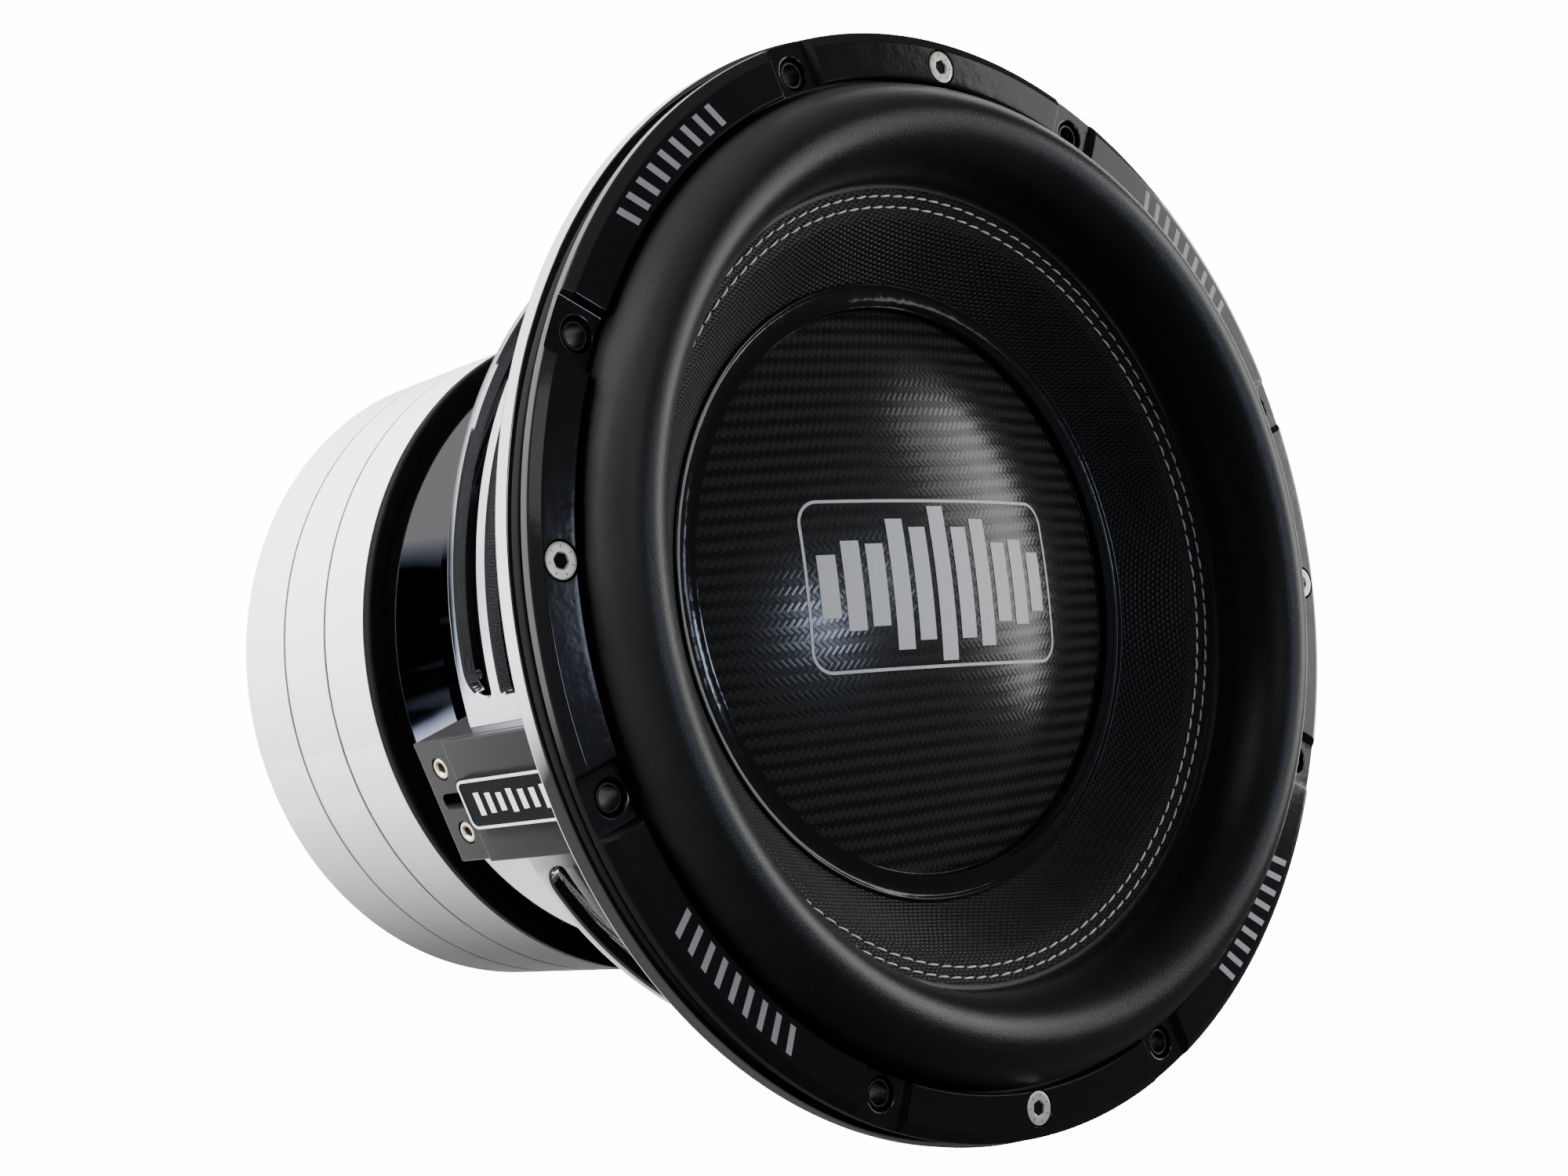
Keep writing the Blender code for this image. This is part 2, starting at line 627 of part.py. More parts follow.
def spider_profile(level):
    """A corrugated disc from its flat collar at the former to its flat lip on the shelf."""
    inner = FORMER_RADIUS + 3 * GAP
    outer = BASE_RADIUS - BASKET_WALL - GAP
    start = inner + SPIDER_COLLAR
    end = outer - SPIDER_LIP
    count = SPIDER_ROLLS * 2
    upper = [(inner, level + SPIDER_THICKNESS)]
    upper.append((start, level + SPIDER_THICKNESS))
    for i in range(count):
        wave = SPIDER_AMPLITUDE * (-1) ** (i + 1)
        upper.append((start + (end - start) * (i + 0.5) / count, level + SPIDER_THICKNESS + wave))
    upper.append((end, level + SPIDER_THICKNESS))
    upper.append((outer, level + SPIDER_THICKNESS))
    lower = [(r, z - SPIDER_THICKNESS) for r, z in upper]
    return upper + lower[::-1]


def build_spiders():
    level = SHELF_TOP + GAP
    outer = BASE_RADIUS - BASKET_WALL - GAP
    turned("spider_lower", spider_profile(level), "spider_cloth", steps=SPIDER_STEPS)
    spacer_bottom = level + SPIDER_THICKNESS + GAP
    profile = ring_profile(outer - SPIDER_LIP + 0.0012, outer, spacer_bottom, spacer_bottom + SPACER_HEIGHT)
    turned("spider_spacer", profile, "black_plastic", steps=INNER_STEPS)
    level = spacer_bottom + SPACER_HEIGHT + GAP
    turned("spider_upper", spider_profile(level), "spider_cloth", steps=SPIDER_STEPS)


def cone_height(radius):
    """Height of the cone's front skin at a radius inside the surround's land; a wide cone is shallower, to clear the leads."""
    edge = ROLL_Z - LAND_DROP - LAND_RISE - SURROUND_THICKNESS - 2 * GAP
    shallowest = (edge - SCREW_Z - LEAD_HEADROOM) / (LAND_INNER - FORMER_RADIUS)
    return edge - min(CONE_SLOPE, shallowest) * (LAND_INNER - radius)


def build_coil():
    neck = cone_height(FORMER_RADIUS)
    bottom = COIL_MIDDLE - WINDING_LENGTH / 2
    former = ring_profile(COIL_RADIUS, FORMER_RADIUS, bottom, neck + 0.004)
    turned("coil_former", former, "aluminium", steps=INNER_STEPS)
    radius = FORMER_RADIUS + GAP
    for name in ("coil_winding_inner", "coil_winding_outer"):
        profile = ring_profile(radius, radius + WINDING_LAYER, bottom, bottom + WINDING_LENGTH)
        turned(name, profile, "coil_wire", steps=INNER_STEPS)
        radius += WINDING_LAYER + GAP


# ---------------------------------------------------------------- cone, cap and surround


def build_cone():
    edge_radius = ROLL_INNER - 0.0005
    land_slope = LAND_RISE / LAND_WIDTH
    rim = cone_height(LAND_INNER) + land_slope * (edge_radius - LAND_INNER)
    neck_radius = FORMER_RADIUS + GAP
    upper = [(neck_radius, cone_height(neck_radius)), (LAND_INNER, cone_height(LAND_INNER)), (edge_radius, rim)]
    lower = [(r, z - CONE_THICKNESS) for r, z in upper]
    turned("cone", upper + lower[::-1], "woven_cone", steps=INNER_STEPS)


def cap_rim_height():
    return cone_height(CAP_RADIUS) + GAP + CAP_SKIRT


def build_cap_ring():
    inner = CAP_RADIUS + GAP
    outer = inner + CAP_RING_WIDTH
    lift = GAP
    profile = [
        (outer - 0.0004, cone_height(outer) + lift),
        (outer, cone_height(outer) + lift + 0.0004),
        (outer - 0.0006, cone_height(outer) + lift + CAP_RING_HEIGHT),
        (inner + 0.0006, cap_rim_height()),
        (inner, cap_rim_height() - 0.0004),
        (inner, cone_height(inner) + lift),
    ]
    turned("cap_ring", profile, "clear_resin", steps=INNER_STEPS)


def build_dust_cap():
    sphere = (CAP_RADIUS**2 + CAP_RISE**2) / (2 * CAP_RISE)
    half_angle = math.degrees(math.asin(CAP_RADIUS / sphere))
    top = cap_rim_height() + CAP_RISE
    outer = arc((0.0, top - sphere), (sphere, sphere), 90.0, 90.0 - half_angle, 5)
    inner_radius = sphere - CAP_THICKNESS
    inner = arc((0.0, top - sphere), (inner_radius, inner_radius), 90.0 - half_angle, 90.0, 3)
    outer[0] = (0.0, top)
    inner[-1] = (0.0, top - CAP_THICKNESS)
    skirt_low = cone_height(CAP_RADIUS) + GAP
    skirt = [(CAP_RADIUS, skirt_low), (CAP_RADIUS - CAP_THICKNESS, skirt_low)]
    inner[0] = (CAP_RADIUS - CAP_THICKNESS, inner[0][1])
    turned("dust_cap", outer + skirt + inner, "carbon_gloss", steps=INNER_STEPS)


def build_surround():
    """A half roll with a thick lip under the trim ring and a flat land glued to the cone."""
    half = SURROUND_THICKNESS
    crown_outer = arc((ROLL_CENTRE, ROLL_Z), (ROLL_HALF_WIDTH, ROLL_HEIGHT), 12.0, 172.0, 7)
    inner_radii = (ROLL_HALF_WIDTH - half, ROLL_HEIGHT - half)
    crown_inner = arc((ROLL_CENTRE, ROLL_Z), inner_radii, 174.0, 6.0, 5)
    lip_top = RING_Z - GAP
    land_high = ROLL_Z - LAND_DROP
    front = [(LIP_RADIUS, SURROUND_Z), (LIP_RADIUS, lip_top), (ROLL_OUTER, lip_top)]
    front += crown_outer
    front += [(ROLL_INNER, land_high + 0.001), (ROLL_INNER - 0.001, land_high)]
    front += [(LAND_INNER, land_high - LAND_RISE), (LAND_INNER, land_high - LAND_RISE - half)]
    back = [(ROLL_INNER - 0.001, land_high - half), (ROLL_INNER + half, land_high - 0.0003)]
    back += crown_inner
    back += [(ROLL_OUTER - half, SURROUND_Z)]
    turned("surround", front + back, "black_rubber")


# ---------------------------------------------------------------- trim ring


def build_gasket():
    bottom = SURROUND_Z
    profile = ring_profile(LIP_RADIUS + GAP, GASKET_RADIUS, bottom, bottom + GASKET_THICKNESS)
    gasket = turned("flange_gasket", profile, "black_foam")
    ends = ((BOLT_CIRCLE_RADIUS, 0, bottom - 0.001), (BOLT_CIRCLE_RADIUS, 0, bottom + 0.006))
    for i in range(MOUNT_HOLE_COUNT):
        angle = MOUNT_HOLE_START_DEG + 360.0 * i / MOUNT_HOLE_COUNT
        cut(gasket, rod(f"gasket_hole_{i + 1}", MOUNT_HOLE_RADIUS, *ends, turn_deg=angle))
    for i in range(TRIM_SCREW_COUNT):
        radius = TRIM_SCREW_RADIUS + SLIDING_FIT
        cut(gasket, rod(f"gasket_screw_{i + 1}", radius, *ends, turn_deg=360.0 * i / TRIM_SCREW_COUNT))


def zone_cutter(name, turn_deg):
    """A radial trough with sloped sides, which sinks the ring's face round a mounting hole."""
    inner = RING_INNER_RADIUS - 0.004
    outer = FLANGE_RADIUS + 0.004
    floor = FACE_Z - ZONE_DEPTH
    cutter = block(name, (inner, -ZONE_HALF_WIDTH, floor), (outer, ZONE_HALF_WIDTH, FACE_Z + 0.002), turn_deg=turn_deg)
    spread = ZONE_DRAFT * (ZONE_DEPTH + 0.002) / ZONE_DEPTH
    for vertex in cutter.data.vertices:
        if vertex.co.z > FACE_Z:
            vertex.co.y += math.copysign(spread, vertex.co.y)
    return cutter


def build_trim_ring():
    side = FLANGE_RADIUS - RING_INSET
    profile = [
        (RING_INNER_RADIUS + RING_INNER_CHAMFER, FACE_Z),
        (BOLT_CIRCLE_RADIUS + RING_FACE_MARGIN, FACE_Z),
        (side, FACE_Z - RING_BEVEL_DROP),
        (side, RING_Z),
        (RING_INNER_RADIUS, RING_Z),
        (RING_INNER_RADIUS, FACE_Z - RING_INNER_CHAMFER),
    ]
    ring = turned("trim_ring", profile, "gloss_black")
    for i in range(MOUNT_HOLE_COUNT):
        angle = MOUNT_HOLE_START_DEG + 360.0 * i / MOUNT_HOLE_COUNT
        ends = ((BOLT_CIRCLE_RADIUS, 0, RING_Z - 0.002), (BOLT_CIRCLE_RADIUS, 0, FACE_Z + 0.002))
        cut(ring, zone_cutter(f"zone_{i + 1}", angle))
        cut(ring, rod(f"ring_hole_{i + 1}", COUNTERBORE_RADIUS, *ends, turn_deg=angle))
    for i in range(TRIM_SCREW_COUNT):
        angle = math.radians(360.0 * i / TRIM_SCREW_COUNT)
        at = (BOLT_CIRCLE_RADIUS * math.cos(angle), BOLT_CIRCLE_RADIUS * math.sin(angle), 0.0)
        cut(ring, turned(f"ring_countersink_{i + 1}", screw_profile(SLIDING_FIT), steps=SMALL_STEPS, at=at))


def screw_profile(clearance=0.0):
    """A countersunk screw, or with a clearance the hole that it sits in."""
    head = TRIM_SCREW_HEAD_RADIUS + clearance
    shank = TRIM_SCREW_RADIUS + clearance
    top = FACE_Z + (0.001 if clearance else -0.00005)
    head_low = FACE_Z - TRIM_SCREW_HEAD_HEIGHT - clearance / 2
    low = FLANGE_BOTTOM + 0.0005 if clearance == 0.0 else RING_Z - 0.001
    return [(0.0, top), (head, top), (head, FACE_Z - 0.0004), (shank, head_low), (shank, low), (0.0, low)]


def build_trim_screws():
    for i in range(TRIM_SCREW_COUNT):
        angle = math.radians(360.0 * i / TRIM_SCREW_COUNT)
        at = (BOLT_CIRCLE_RADIUS * math.cos(angle), BOLT_CIRCLE_RADIUS * math.sin(angle), 0.0)
        screw = turned(f"trim_screw_{i + 1}", screw_profile(), "screw_steel", steps=SMALL_STEPS, at=at)
        cut(screw, hex_socket(f"trim_socket_{i + 1}", HEX_SOCKET_RADIUS, FACE_Z - 0.0022, FACE_Z + 0.001, at=at))


# ---------------------------------------------------------------- terminals


def basket_envelope():
    """The basket's outer wall with a gap, which the back of a terminal base is cut to."""
    cove = cove_profile(clearance=2 * GAP)
    radius = DRUM_RADIUS + 2 * GAP
    low = TERMINAL_BOTTOM - 0.01
    lower = [(r, z) for r, z in cove if z > low]
    profile = [(0.0, FLANGE_BOTTOM), (radius, FLANGE_BOTTOM), (radius, SILL_Z)]
    profile += lower[::-1][1:] + [(lower[0][0], low), (0.0, low)]
    return turned("basket_envelope", profile)


def build_terminal(letter, turn, envelope):
    face = TERMINAL_FACE
    base = block(
        f"terminal_base_{letter}",
        (face - TERMINAL_INNER_DEPTH, -TERMINAL_HALF_WIDTH, TERMINAL_BOTTOM),
        (face, TERMINAL_HALF_WIDTH, TERMINAL_TOP),
        "gunmetal",
        turn,
    )
    cut(base, envelope)
    slot_ends = (BASE_SCREW_Z + 0.002, SCREW_Z - 0.002)
    slot = block(
        f"centre_slot_{letter}",
        (face - SLOT_DEPTH, -SLOT_HALF_WIDTH, slot_ends[1] - 0.0025),
        (face + 0.002, SLOT_HALF_WIDTH, slot_ends[0]),
        turn_deg=turn,
    )
    cut(base, slot)
    port_x = face - PORT_DEPTH_FROM_FACE
    half_x, half_y, half_z = BLOCK_HALF_SIZES
    for number, side in ((1, -1), (2, 1)):
        y = side * PORT_OFFSET
        tag = f"{letter}{number}"
        low = (port_x - half_x - 0.03, y - half_y - GAP, SCREW_Z - half_z - GAP)
        high = (port_x + half_x + GAP, y + half_y + GAP, SCREW_Z + half_z + GAP)
        cut(base, block(f"pocket_{tag}", low, high, turn_deg=turn))
        port_ends = ((port_x, y, TERMINAL_BOTTOM - 0.002), (port_x, y, SCREW_Z))
        cut(base, rod(f"port_{tag}", PORT_RADIUS, *port_ends, turn_deg=turn))
        bore_ends = ((port_x, y, SCREW_Z), (face + 0.002, y, SCREW_Z))
        bore = rod(f"screw_bore_{tag}", SET_SCREW_RADIUS + SLIDING_FIT, *bore_ends, turn_deg=turn)
        cut(base, bore)
        contact = block(
            f"contact_block_{tag}",
            (port_x - half_x, y - half_y, SCREW_Z - half_z),
            (port_x + half_x, y + half_y, SCREW_Z + half_z),
            "brass",
            turn,
        )
        wire_ends = ((port_x, y, SCREW_Z - 0.02), (port_x, y, SCREW_Z + 0.02))
        cut(contact, rod(f"wire_bore_{tag}", PORT_RADIUS - 0.0001, *wire_ends, turn_deg=turn))
        thread = rod(f"screw_thread_{tag}", SET_SCREW_RADIUS + SLIDING_FIT, *bore_ends, turn_deg=turn)
        cut(contact, thread)
        build_set_screw(tag, turn, y)
        build_base_screw(tag, turn, side * BASE_SCREW_OFFSET, base)
    block(
        f"terminal_cover_{letter}",
        (face + GAP, -TERMINAL_HALF_WIDTH, COVER_BOTTOM),
        (face + GAP + COVER_THICKNESS, TERMINAL_HALF_WIDTH, TERMINAL_TOP),
        "gunmetal",
        turn,
        bevel=0.0005,
    )
    plate_low = face + 2 * GAP + COVER_THICKNESS
    block(
        f"label_plate_{letter}",
        (plate_low, -PLATE_HALF_WIDTH, COVER_BOTTOM + PLATE_SETBACK),
        (plate_low + PLATE_THICKNESS, PLATE_HALF_WIDTH, TERMINAL_TOP),
        "gunmetal",
        turn,
        bevel=0.0006,
    )


def build_set_screw(tag, turn, y):
    outer = TERMINAL_FACE - 0.0002
    inner = outer - SET_SCREW_LENGTH
    screw = rod(f"set_screw_{tag}", SET_SCREW_RADIUS, (inner, y, SCREW_Z), (outer, y, SCREW_Z), "brass", turn_deg=turn)
    ends = ((outer - 0.0025, y, SCREW_Z), (outer + 0.001, y, SCREW_Z))
    cut(screw, rod(f"set_socket_{tag}", SET_SOCKET_RADIUS, *ends, sides=6, turn_deg=turn))


def build_base_screw(tag, turn, y, base):
    head_top = TERMINAL_FACE - 0.0005
    head_low = head_top - 0.0018
    tip = head_low - BASE_SCREW_LENGTH
    offset = Vector((0.0, y, BASE_SCREW_Z))
    profile = [
        (0.0, head_top),
        (BASE_SCREW_HEAD_RADIUS, head_top),
        (BASE_SCREW_HEAD_RADIUS, head_low),
        (BASE_SCREW_RADIUS, head_low),
        (BASE_SCREW_RADIUS, tip),
        (0.0, tip),
    ]
    screw = turned(f"base_screw_{tag}", profile, "black_oxide", steps=SMALL_STEPS)
    turn_matrix = Matrix.Rotation(math.radians(turn), 4, "Z")
    lay_matrix = Matrix.Rotation(math.radians(90.0), 4, "Y")
    screw.matrix_world = turn_matrix @ Matrix.Translation(offset) @ lay_matrix
    well = (head_low - GAP, y, BASE_SCREW_Z), (TERMINAL_FACE + 0.002, y, BASE_SCREW_Z)
    cut(base, rod(f"head_well_{tag}", BASE_SCREW_HEAD_RADIUS + GAP, *well, turn_deg=turn))
    shank = (TERMINAL_FACE - TERMINAL_INNER_DEPTH, y, BASE_SCREW_Z), (head_top, y, BASE_SCREW_Z)
    cut(base, rod(f"shank_well_{tag}", BASE_SCREW_RADIUS + SLIDING_FIT, *shank, turn_deg=turn))


def build_tinsel_lead(number, turn, side):
    """A flexible lead from a contact block, through the basket's wall, to the coil former."""
    inner_face = TERMINAL_FACE - PORT_DEPTH_FROM_FACE - BLOCK_HALF_SIZES[0] - GAP
    start = Vector((inner_face, side * PORT_OFFSET, SCREW_Z))
    end = Vector((FORMER_RADIUS + LEAD_RADIUS + GAP, side * PORT_OFFSET * 0.5, SCREW_Z + 0.004))
    straight = 0.3
    curve = bpy.data.curves.new(f"tinsel_lead_{number}", "CURVE")
    curve.dimensions = "3D"
    curve.bevel_depth = LEAD_RADIUS
    curve.bevel_resolution = 1
    curve.use_fill_caps = True
    spline = curve.splines.new("POLY")
    spline.points.add(LEAD_POINTS - 1)
    for i in range(LEAD_POINTS):
        share = i / (LEAD_POINTS - 1)
        point = start.lerp(end, share)
        hump = max(0.0, (share - straight) / (1.0 - straight))
        point.z = start.z + (end.z - start.z) * hump + LEAD_HUMP * math.sin(math.pi * hump) ** 2
        point.y = start.y + (end.y - start.y) * hump
        spline.points[i].co = (*point, 1.0)
    lead = bpy.data.objects.new(f"tinsel_lead_{number}", curve)
    lead.rotation_euler.z = math.radians(turn)
    curve.materials.append(MATERIALS["tinsel"])
    PIECES.objects.link(lead)


def build_terminals():
    envelope = basket_envelope()
    number = 1
    for letter, spoke in TERMINAL_SPOKES:
        turn = spoke_angle(spoke)
        build_terminal(letter, turn, envelope)
        for side in (-1, 1):
            build_tinsel_lead(number, turn, side)
            number += 1


def main():
    build_back_plate()
    build_vent_screen()
    build_magnets()
    build_motor_covers()
    build_shorting_parts()
    build_seal_ring()
    build_basket()
    build_basket_bolts()
    build_spiders()
    build_coil()
    build_cone()
    build_cap_ring()
    build_dust_cap()
    build_surround()
    build_gasket()
    build_trim_ring()
    build_trim_screws()
    build_terminals()


clear_scene()
PIECES = make_collection("subwoofer")
CUTTERS = make_collection("cutters")
MATERIALS = {name: make_finish(name) for name in FINISHES}
main()
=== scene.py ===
"""Looks of a 12 inch long-throw car subwoofer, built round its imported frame.

Every length is in metres in the frame's axes: +Z out of the cone, +X towards a trim screw, Z = 0
on the motor's rear face.
"""

from __future__ import annotations

import json
import logging
import math
from collections.abc import Callable, Mapping, Sequence
from dataclasses import dataclass, field
from enum import Enum

import bmesh
import bpy
import numpy as np
from mathutils import Matrix, Quaternion, Vector

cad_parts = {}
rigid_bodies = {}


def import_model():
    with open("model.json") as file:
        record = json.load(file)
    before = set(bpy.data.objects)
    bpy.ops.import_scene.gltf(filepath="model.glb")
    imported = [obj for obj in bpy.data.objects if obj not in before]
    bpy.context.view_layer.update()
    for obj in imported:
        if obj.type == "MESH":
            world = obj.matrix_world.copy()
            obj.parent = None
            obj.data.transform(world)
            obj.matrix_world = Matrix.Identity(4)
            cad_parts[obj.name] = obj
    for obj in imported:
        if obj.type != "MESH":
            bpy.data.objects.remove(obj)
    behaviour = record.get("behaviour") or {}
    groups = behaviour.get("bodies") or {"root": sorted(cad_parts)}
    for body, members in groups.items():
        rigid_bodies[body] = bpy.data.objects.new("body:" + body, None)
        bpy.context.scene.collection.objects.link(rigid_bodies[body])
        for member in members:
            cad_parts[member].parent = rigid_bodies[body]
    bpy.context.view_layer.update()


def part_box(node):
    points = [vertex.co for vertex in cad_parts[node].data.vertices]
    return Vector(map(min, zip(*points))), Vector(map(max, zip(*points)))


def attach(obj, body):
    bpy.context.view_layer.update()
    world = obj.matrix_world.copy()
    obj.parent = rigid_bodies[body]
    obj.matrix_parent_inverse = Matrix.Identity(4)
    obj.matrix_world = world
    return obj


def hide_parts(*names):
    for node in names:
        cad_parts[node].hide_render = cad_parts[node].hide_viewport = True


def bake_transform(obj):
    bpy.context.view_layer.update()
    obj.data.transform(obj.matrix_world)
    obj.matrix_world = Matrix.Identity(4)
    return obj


LOG = logging.getLogger("subwoofer")
SEGMENTS = 256
MM = 0.001

Point = tuple[float, float]
Corner = tuple[float, float, float]
Colour = tuple[float, float, float]


class Body(Enum):
    """The rigid bodies that pieces ride on."""

    FRAME = "frame"
    CONE = "moving_cone"


# ------------------------------------------------------------------ node graphs


@dataclass(frozen=True)
class Wire:
    """One output socket of a node, with Python's arithmetic on it."""

    graph: "Graph"
    socket: bpy.types.NodeSocket

    def _with(self, operation: str, *values: "Wire | float") -> "Wire":
        """Adds one Math node that works on this value and the others."""
        return self.graph.math(operation, self, *values)

    def __add__(self, other: "Wire | float") -> "Wire":
        """Sum."""
        return self._with("ADD", other)

    def __radd__(self, other: float) -> "Wire":
        """Sum with a number on the left."""
        return self._with("ADD", other)

    def __sub__(self, other: "Wire | float") -> "Wire":
        """Difference."""
        return self._with("SUBTRACT", other)

    def __rsub__(self, other: float) -> "Wire":
        """Difference from a number on the left."""
        return self.graph.math("SUBTRACT", other, self)

    def __mul__(self, other: "Wire | float") -> "Wire":
        """Product."""
        return self._with("MULTIPLY", other)

    def __rmul__(self, other: float) -> "Wire":
        """Product with a number on the left."""
        return self._with("MULTIPLY", other)

    def __truediv__(self, other: "Wire | float") -> "Wire":
        """Quotient."""
        return self._with("DIVIDE", other)

    def __mod__(self, other: float) -> "Wire":
        """Remainder that stays positive."""
        return self._with("FLOORED_MODULO", other)

    def __pow__(self, other: float) -> "Wire":
        """Power."""
        return self._with("POWER", other)

    def __lt__(self, other: "Wire | float") -> "Wire":
        """1 where it is below the other, else 0."""
        return self._with("LESS_THAN", other)

    def __gt__(self, other: "Wire | float") -> "Wire":
        """1 where it is above the other, else 0."""
        return self._with("GREATER_THAN", other)

    def sine(self) -> "Wire":
        """Sine of an angle in radians."""
        return self._with("SINE")

    def cosine(self) -> "Wire":
        """Cosine of an angle in radians."""
        return self._with("COSINE")

    def floor(self) -> "Wire":
        """Whole part."""
        return self._with("FLOOR")

    def absolute(self) -> "Wire":
        """Size without its sign."""
        return self._with("ABSOLUTE")


class Graph:
    """Adds nodes to a node tree."""

    def __init__(self, tree: bpy.types.NodeTree) -> None:
        """Keeps the tree that the nodes go into."""
        self.tree = tree

    def node(
        self,
        kind: str,
        settings: Mapping[str, object] | None = None,
        inputs: Mapping[str | int, object] | None = None,
        output: str | int = 0,
    ) -> Wire:
        """Adds a node.

        Args:
            kind: The node's type.
            settings: Properties of the node, set before its sockets. "stops" fills a ramp.
            inputs: A value or a wire for each named or numbered socket.
            output: The output that is wanted.

        Returns:
            The wanted output.
        """
        node = self.tree.nodes.new(kind)
        for name, value in (settings or {}).items():
            if name == "stops":
                self._fill_ramp(node.color_ramp, value)
            else:
                setattr(node, name, value)
        for name, value in (inputs or {}).items():
            if isinstance(value, Wire):
                self.tree.links.new(value.socket, node.inputs[name])
            else:
                node.inputs[name].default_value = value
        return Wire(self, node.outputs[output])

    @staticmethod
    def _fill_ramp(ramp: bpy.types.ColorRamp, stops: Sequence[tuple[float, float]]) -> None:
        """Gives a ramp its grey stops.

        Args:
            ramp: The ramp, which starts with two stops.
            stops: Position and grey level of each stop.
        """
        while len(ramp.elements) < len(stops):
            ramp.elements.new(0.5)
        for element, (position, level) in zip(ramp.elements, stops):
            element.position = position
            element.color = (level, level, level, 1.0)

    def math(self, operation: str, *values: Wire | float, clamp: bool = False) -> Wire:
        """Adds a Math node.

        Args:
            operation: The node's operation.
            values: Its inputs in order.
            clamp: Whether the result stays between 0 and 1.

        Returns:
            The result.
        """
        settings = {"operation": operation, "use_clamp": clamp}
        return self.node("ShaderNodeMath", settings, dict(enumerate(values)))

    def vector(self, x: Wire | float, y: Wire | float, z: Wire | float) -> Wire:
        """A vector from its three parts."""
        return self.node("ShaderNodeCombineXYZ", None, {0: x, 1: y, 2: z})


class Surface(Graph):
    """The nodes of one material round a Principled shader."""

    def __init__(self, name: str) -> None:
        """Makes the material with its Principled shader.

        Args:
            name: The material's name.
        """
        self.material = bpy.data.materials.new(name)
        self.material.use_nodes = True
        super().__init__(self.material.node_tree)
        self.shader = self.tree.nodes["Principled BSDF"]
        self._place: Wire | None = None

    @property
    def place(self) -> Wire:
        """The point's object coordinates."""
        if self._place is None:
            self._place = self.node("ShaderNodeTexCoord", output="Object")
        return self._place

    def parts(self, vector: Wire) -> tuple[Wire, Wire, Wire]:
        """The three parts of a vector.

        Args:
            vector: Where it is sampled, or what is split.

        Returns:
            The three parts.
        """
        node = self.tree.nodes.new("ShaderNodeSeparateXYZ")
        self.tree.links.new(vector.socket, node.inputs[0])
        return tuple(Wire(self, output) for output in node.outputs)

    def polar(self) -> tuple[Wire, Wire, Wire]:
        """Radius, angle and height about the axis."""
        x, y, z = self.parts(self.place)
        return self.math("SQRT", x * x + y * y), self.math("ARCTAN2", y, x), z

    def mapped(self, scale: Sequence[float], turn_deg: float = 0.0) -> Wire:
        """Object coordinates, turned about the axis and then scaled.

        Args:
            scale: Factor along each axis.
            turn_deg: Turn about Z.

        Returns:
            The mapped vector.
        """
        inputs = {"Vector": self.place, "Scale": scale, "Rotation": (0.0, 0.0, math.radians(turn_deg))}
        return self.node("ShaderNodeMapping", None, inputs)

    def noise(self, vector: Wire, scale: float, detail: float = 3.0, rough: float = 0.5) -> Wire:
        """Smooth noise between 0 and 1."""
        inputs = {"Vector": vector, "Scale": scale, "Detail": detail, "Roughness": rough}
        return self.node("ShaderNodeTexNoise", None, inputs)

    def ramp(self, value: Wire, stops: Sequence[tuple[float, float]]) -> Wire:
        """A value remapped by grey stops."""
        return self.node("ShaderNodeValToRGB", {"stops": stops}, {"Fac": value})

    def mix(self, share: Wire, first: Colour, second: Colour) -> Wire:
        """A colour between two others."""
        inputs = {0: share, 6: (*first, 1.0), 7: (*second, 1.0)}
        return self.node("ShaderNodeMix", {"data_type": "RGBA"}, inputs, 2)

    def set(self, **values: object) -> None:
        """Sets sockets of the Principled shader, by value or by wire.

        Args:
            values: Socket names in snake case, each with its value.
        """
        for key, value in values.items():
            name = key.replace("_", " ").title().replace("Ior", "IOR")
            socket = self.shader.inputs[name]
            if isinstance(value, Wire):
                self.tree.links.new(value.socket, socket)
            elif isinstance(value, tuple):
                socket.default_value = (*value, 1.0)
            else:
                socket.default_value = value

    def relief(self, height: Wire, depth: float, strength: float = 1.0, under: Wire | None = None) -> Wire:
        """A bumped normal.

        Args:
            height: The height between 0 and 1.
            depth: What a height of 1 stands for.
            strength: Share of the bump that is used.
            under: A normal that this one is laid over.

        Returns:
            The normal.
        """
        inputs = {"Height": height, "Distance": depth, "Strength": strength}
        if under is not None:
            inputs["Normal"] = under
        return self.node("ShaderNodeBump", None, inputs)


# ------------------------------------------------------------------ finishes


@dataclass(frozen=True)
class Finish:
    """A finish that a surface can be given."""

    name: str
    slot: str
    colour: Colour
    roughness: float
    metallic: float = 0.0

    def material(self) -> bpy.types.Material:
        """The finish's material, made on first use."""
        known = bpy.data.materials.get(f"look_{self.name}")
        if known is not None:
            return known
        surface = Surface(f"look_{self.name}")
        surface.set(base_color=self.colour, roughness=self.roughness, metallic=self.metallic)
        self.dress(surface)
        return surface.material

    def dress(self, surface: Surface) -> None:
        """Adds the finish's own nodes, here a faint mottle.

        Args:
            surface: The surface whose nodes are added.
        """
        cloud = surface.noise(surface.place, 140.0)
        surface.set(roughness=(cloud - 0.5) * 0.12 + self.roughness)
        surface.set(normal=surface.relief(surface.noise(surface.place, 1800.0), 0.02 * MM))


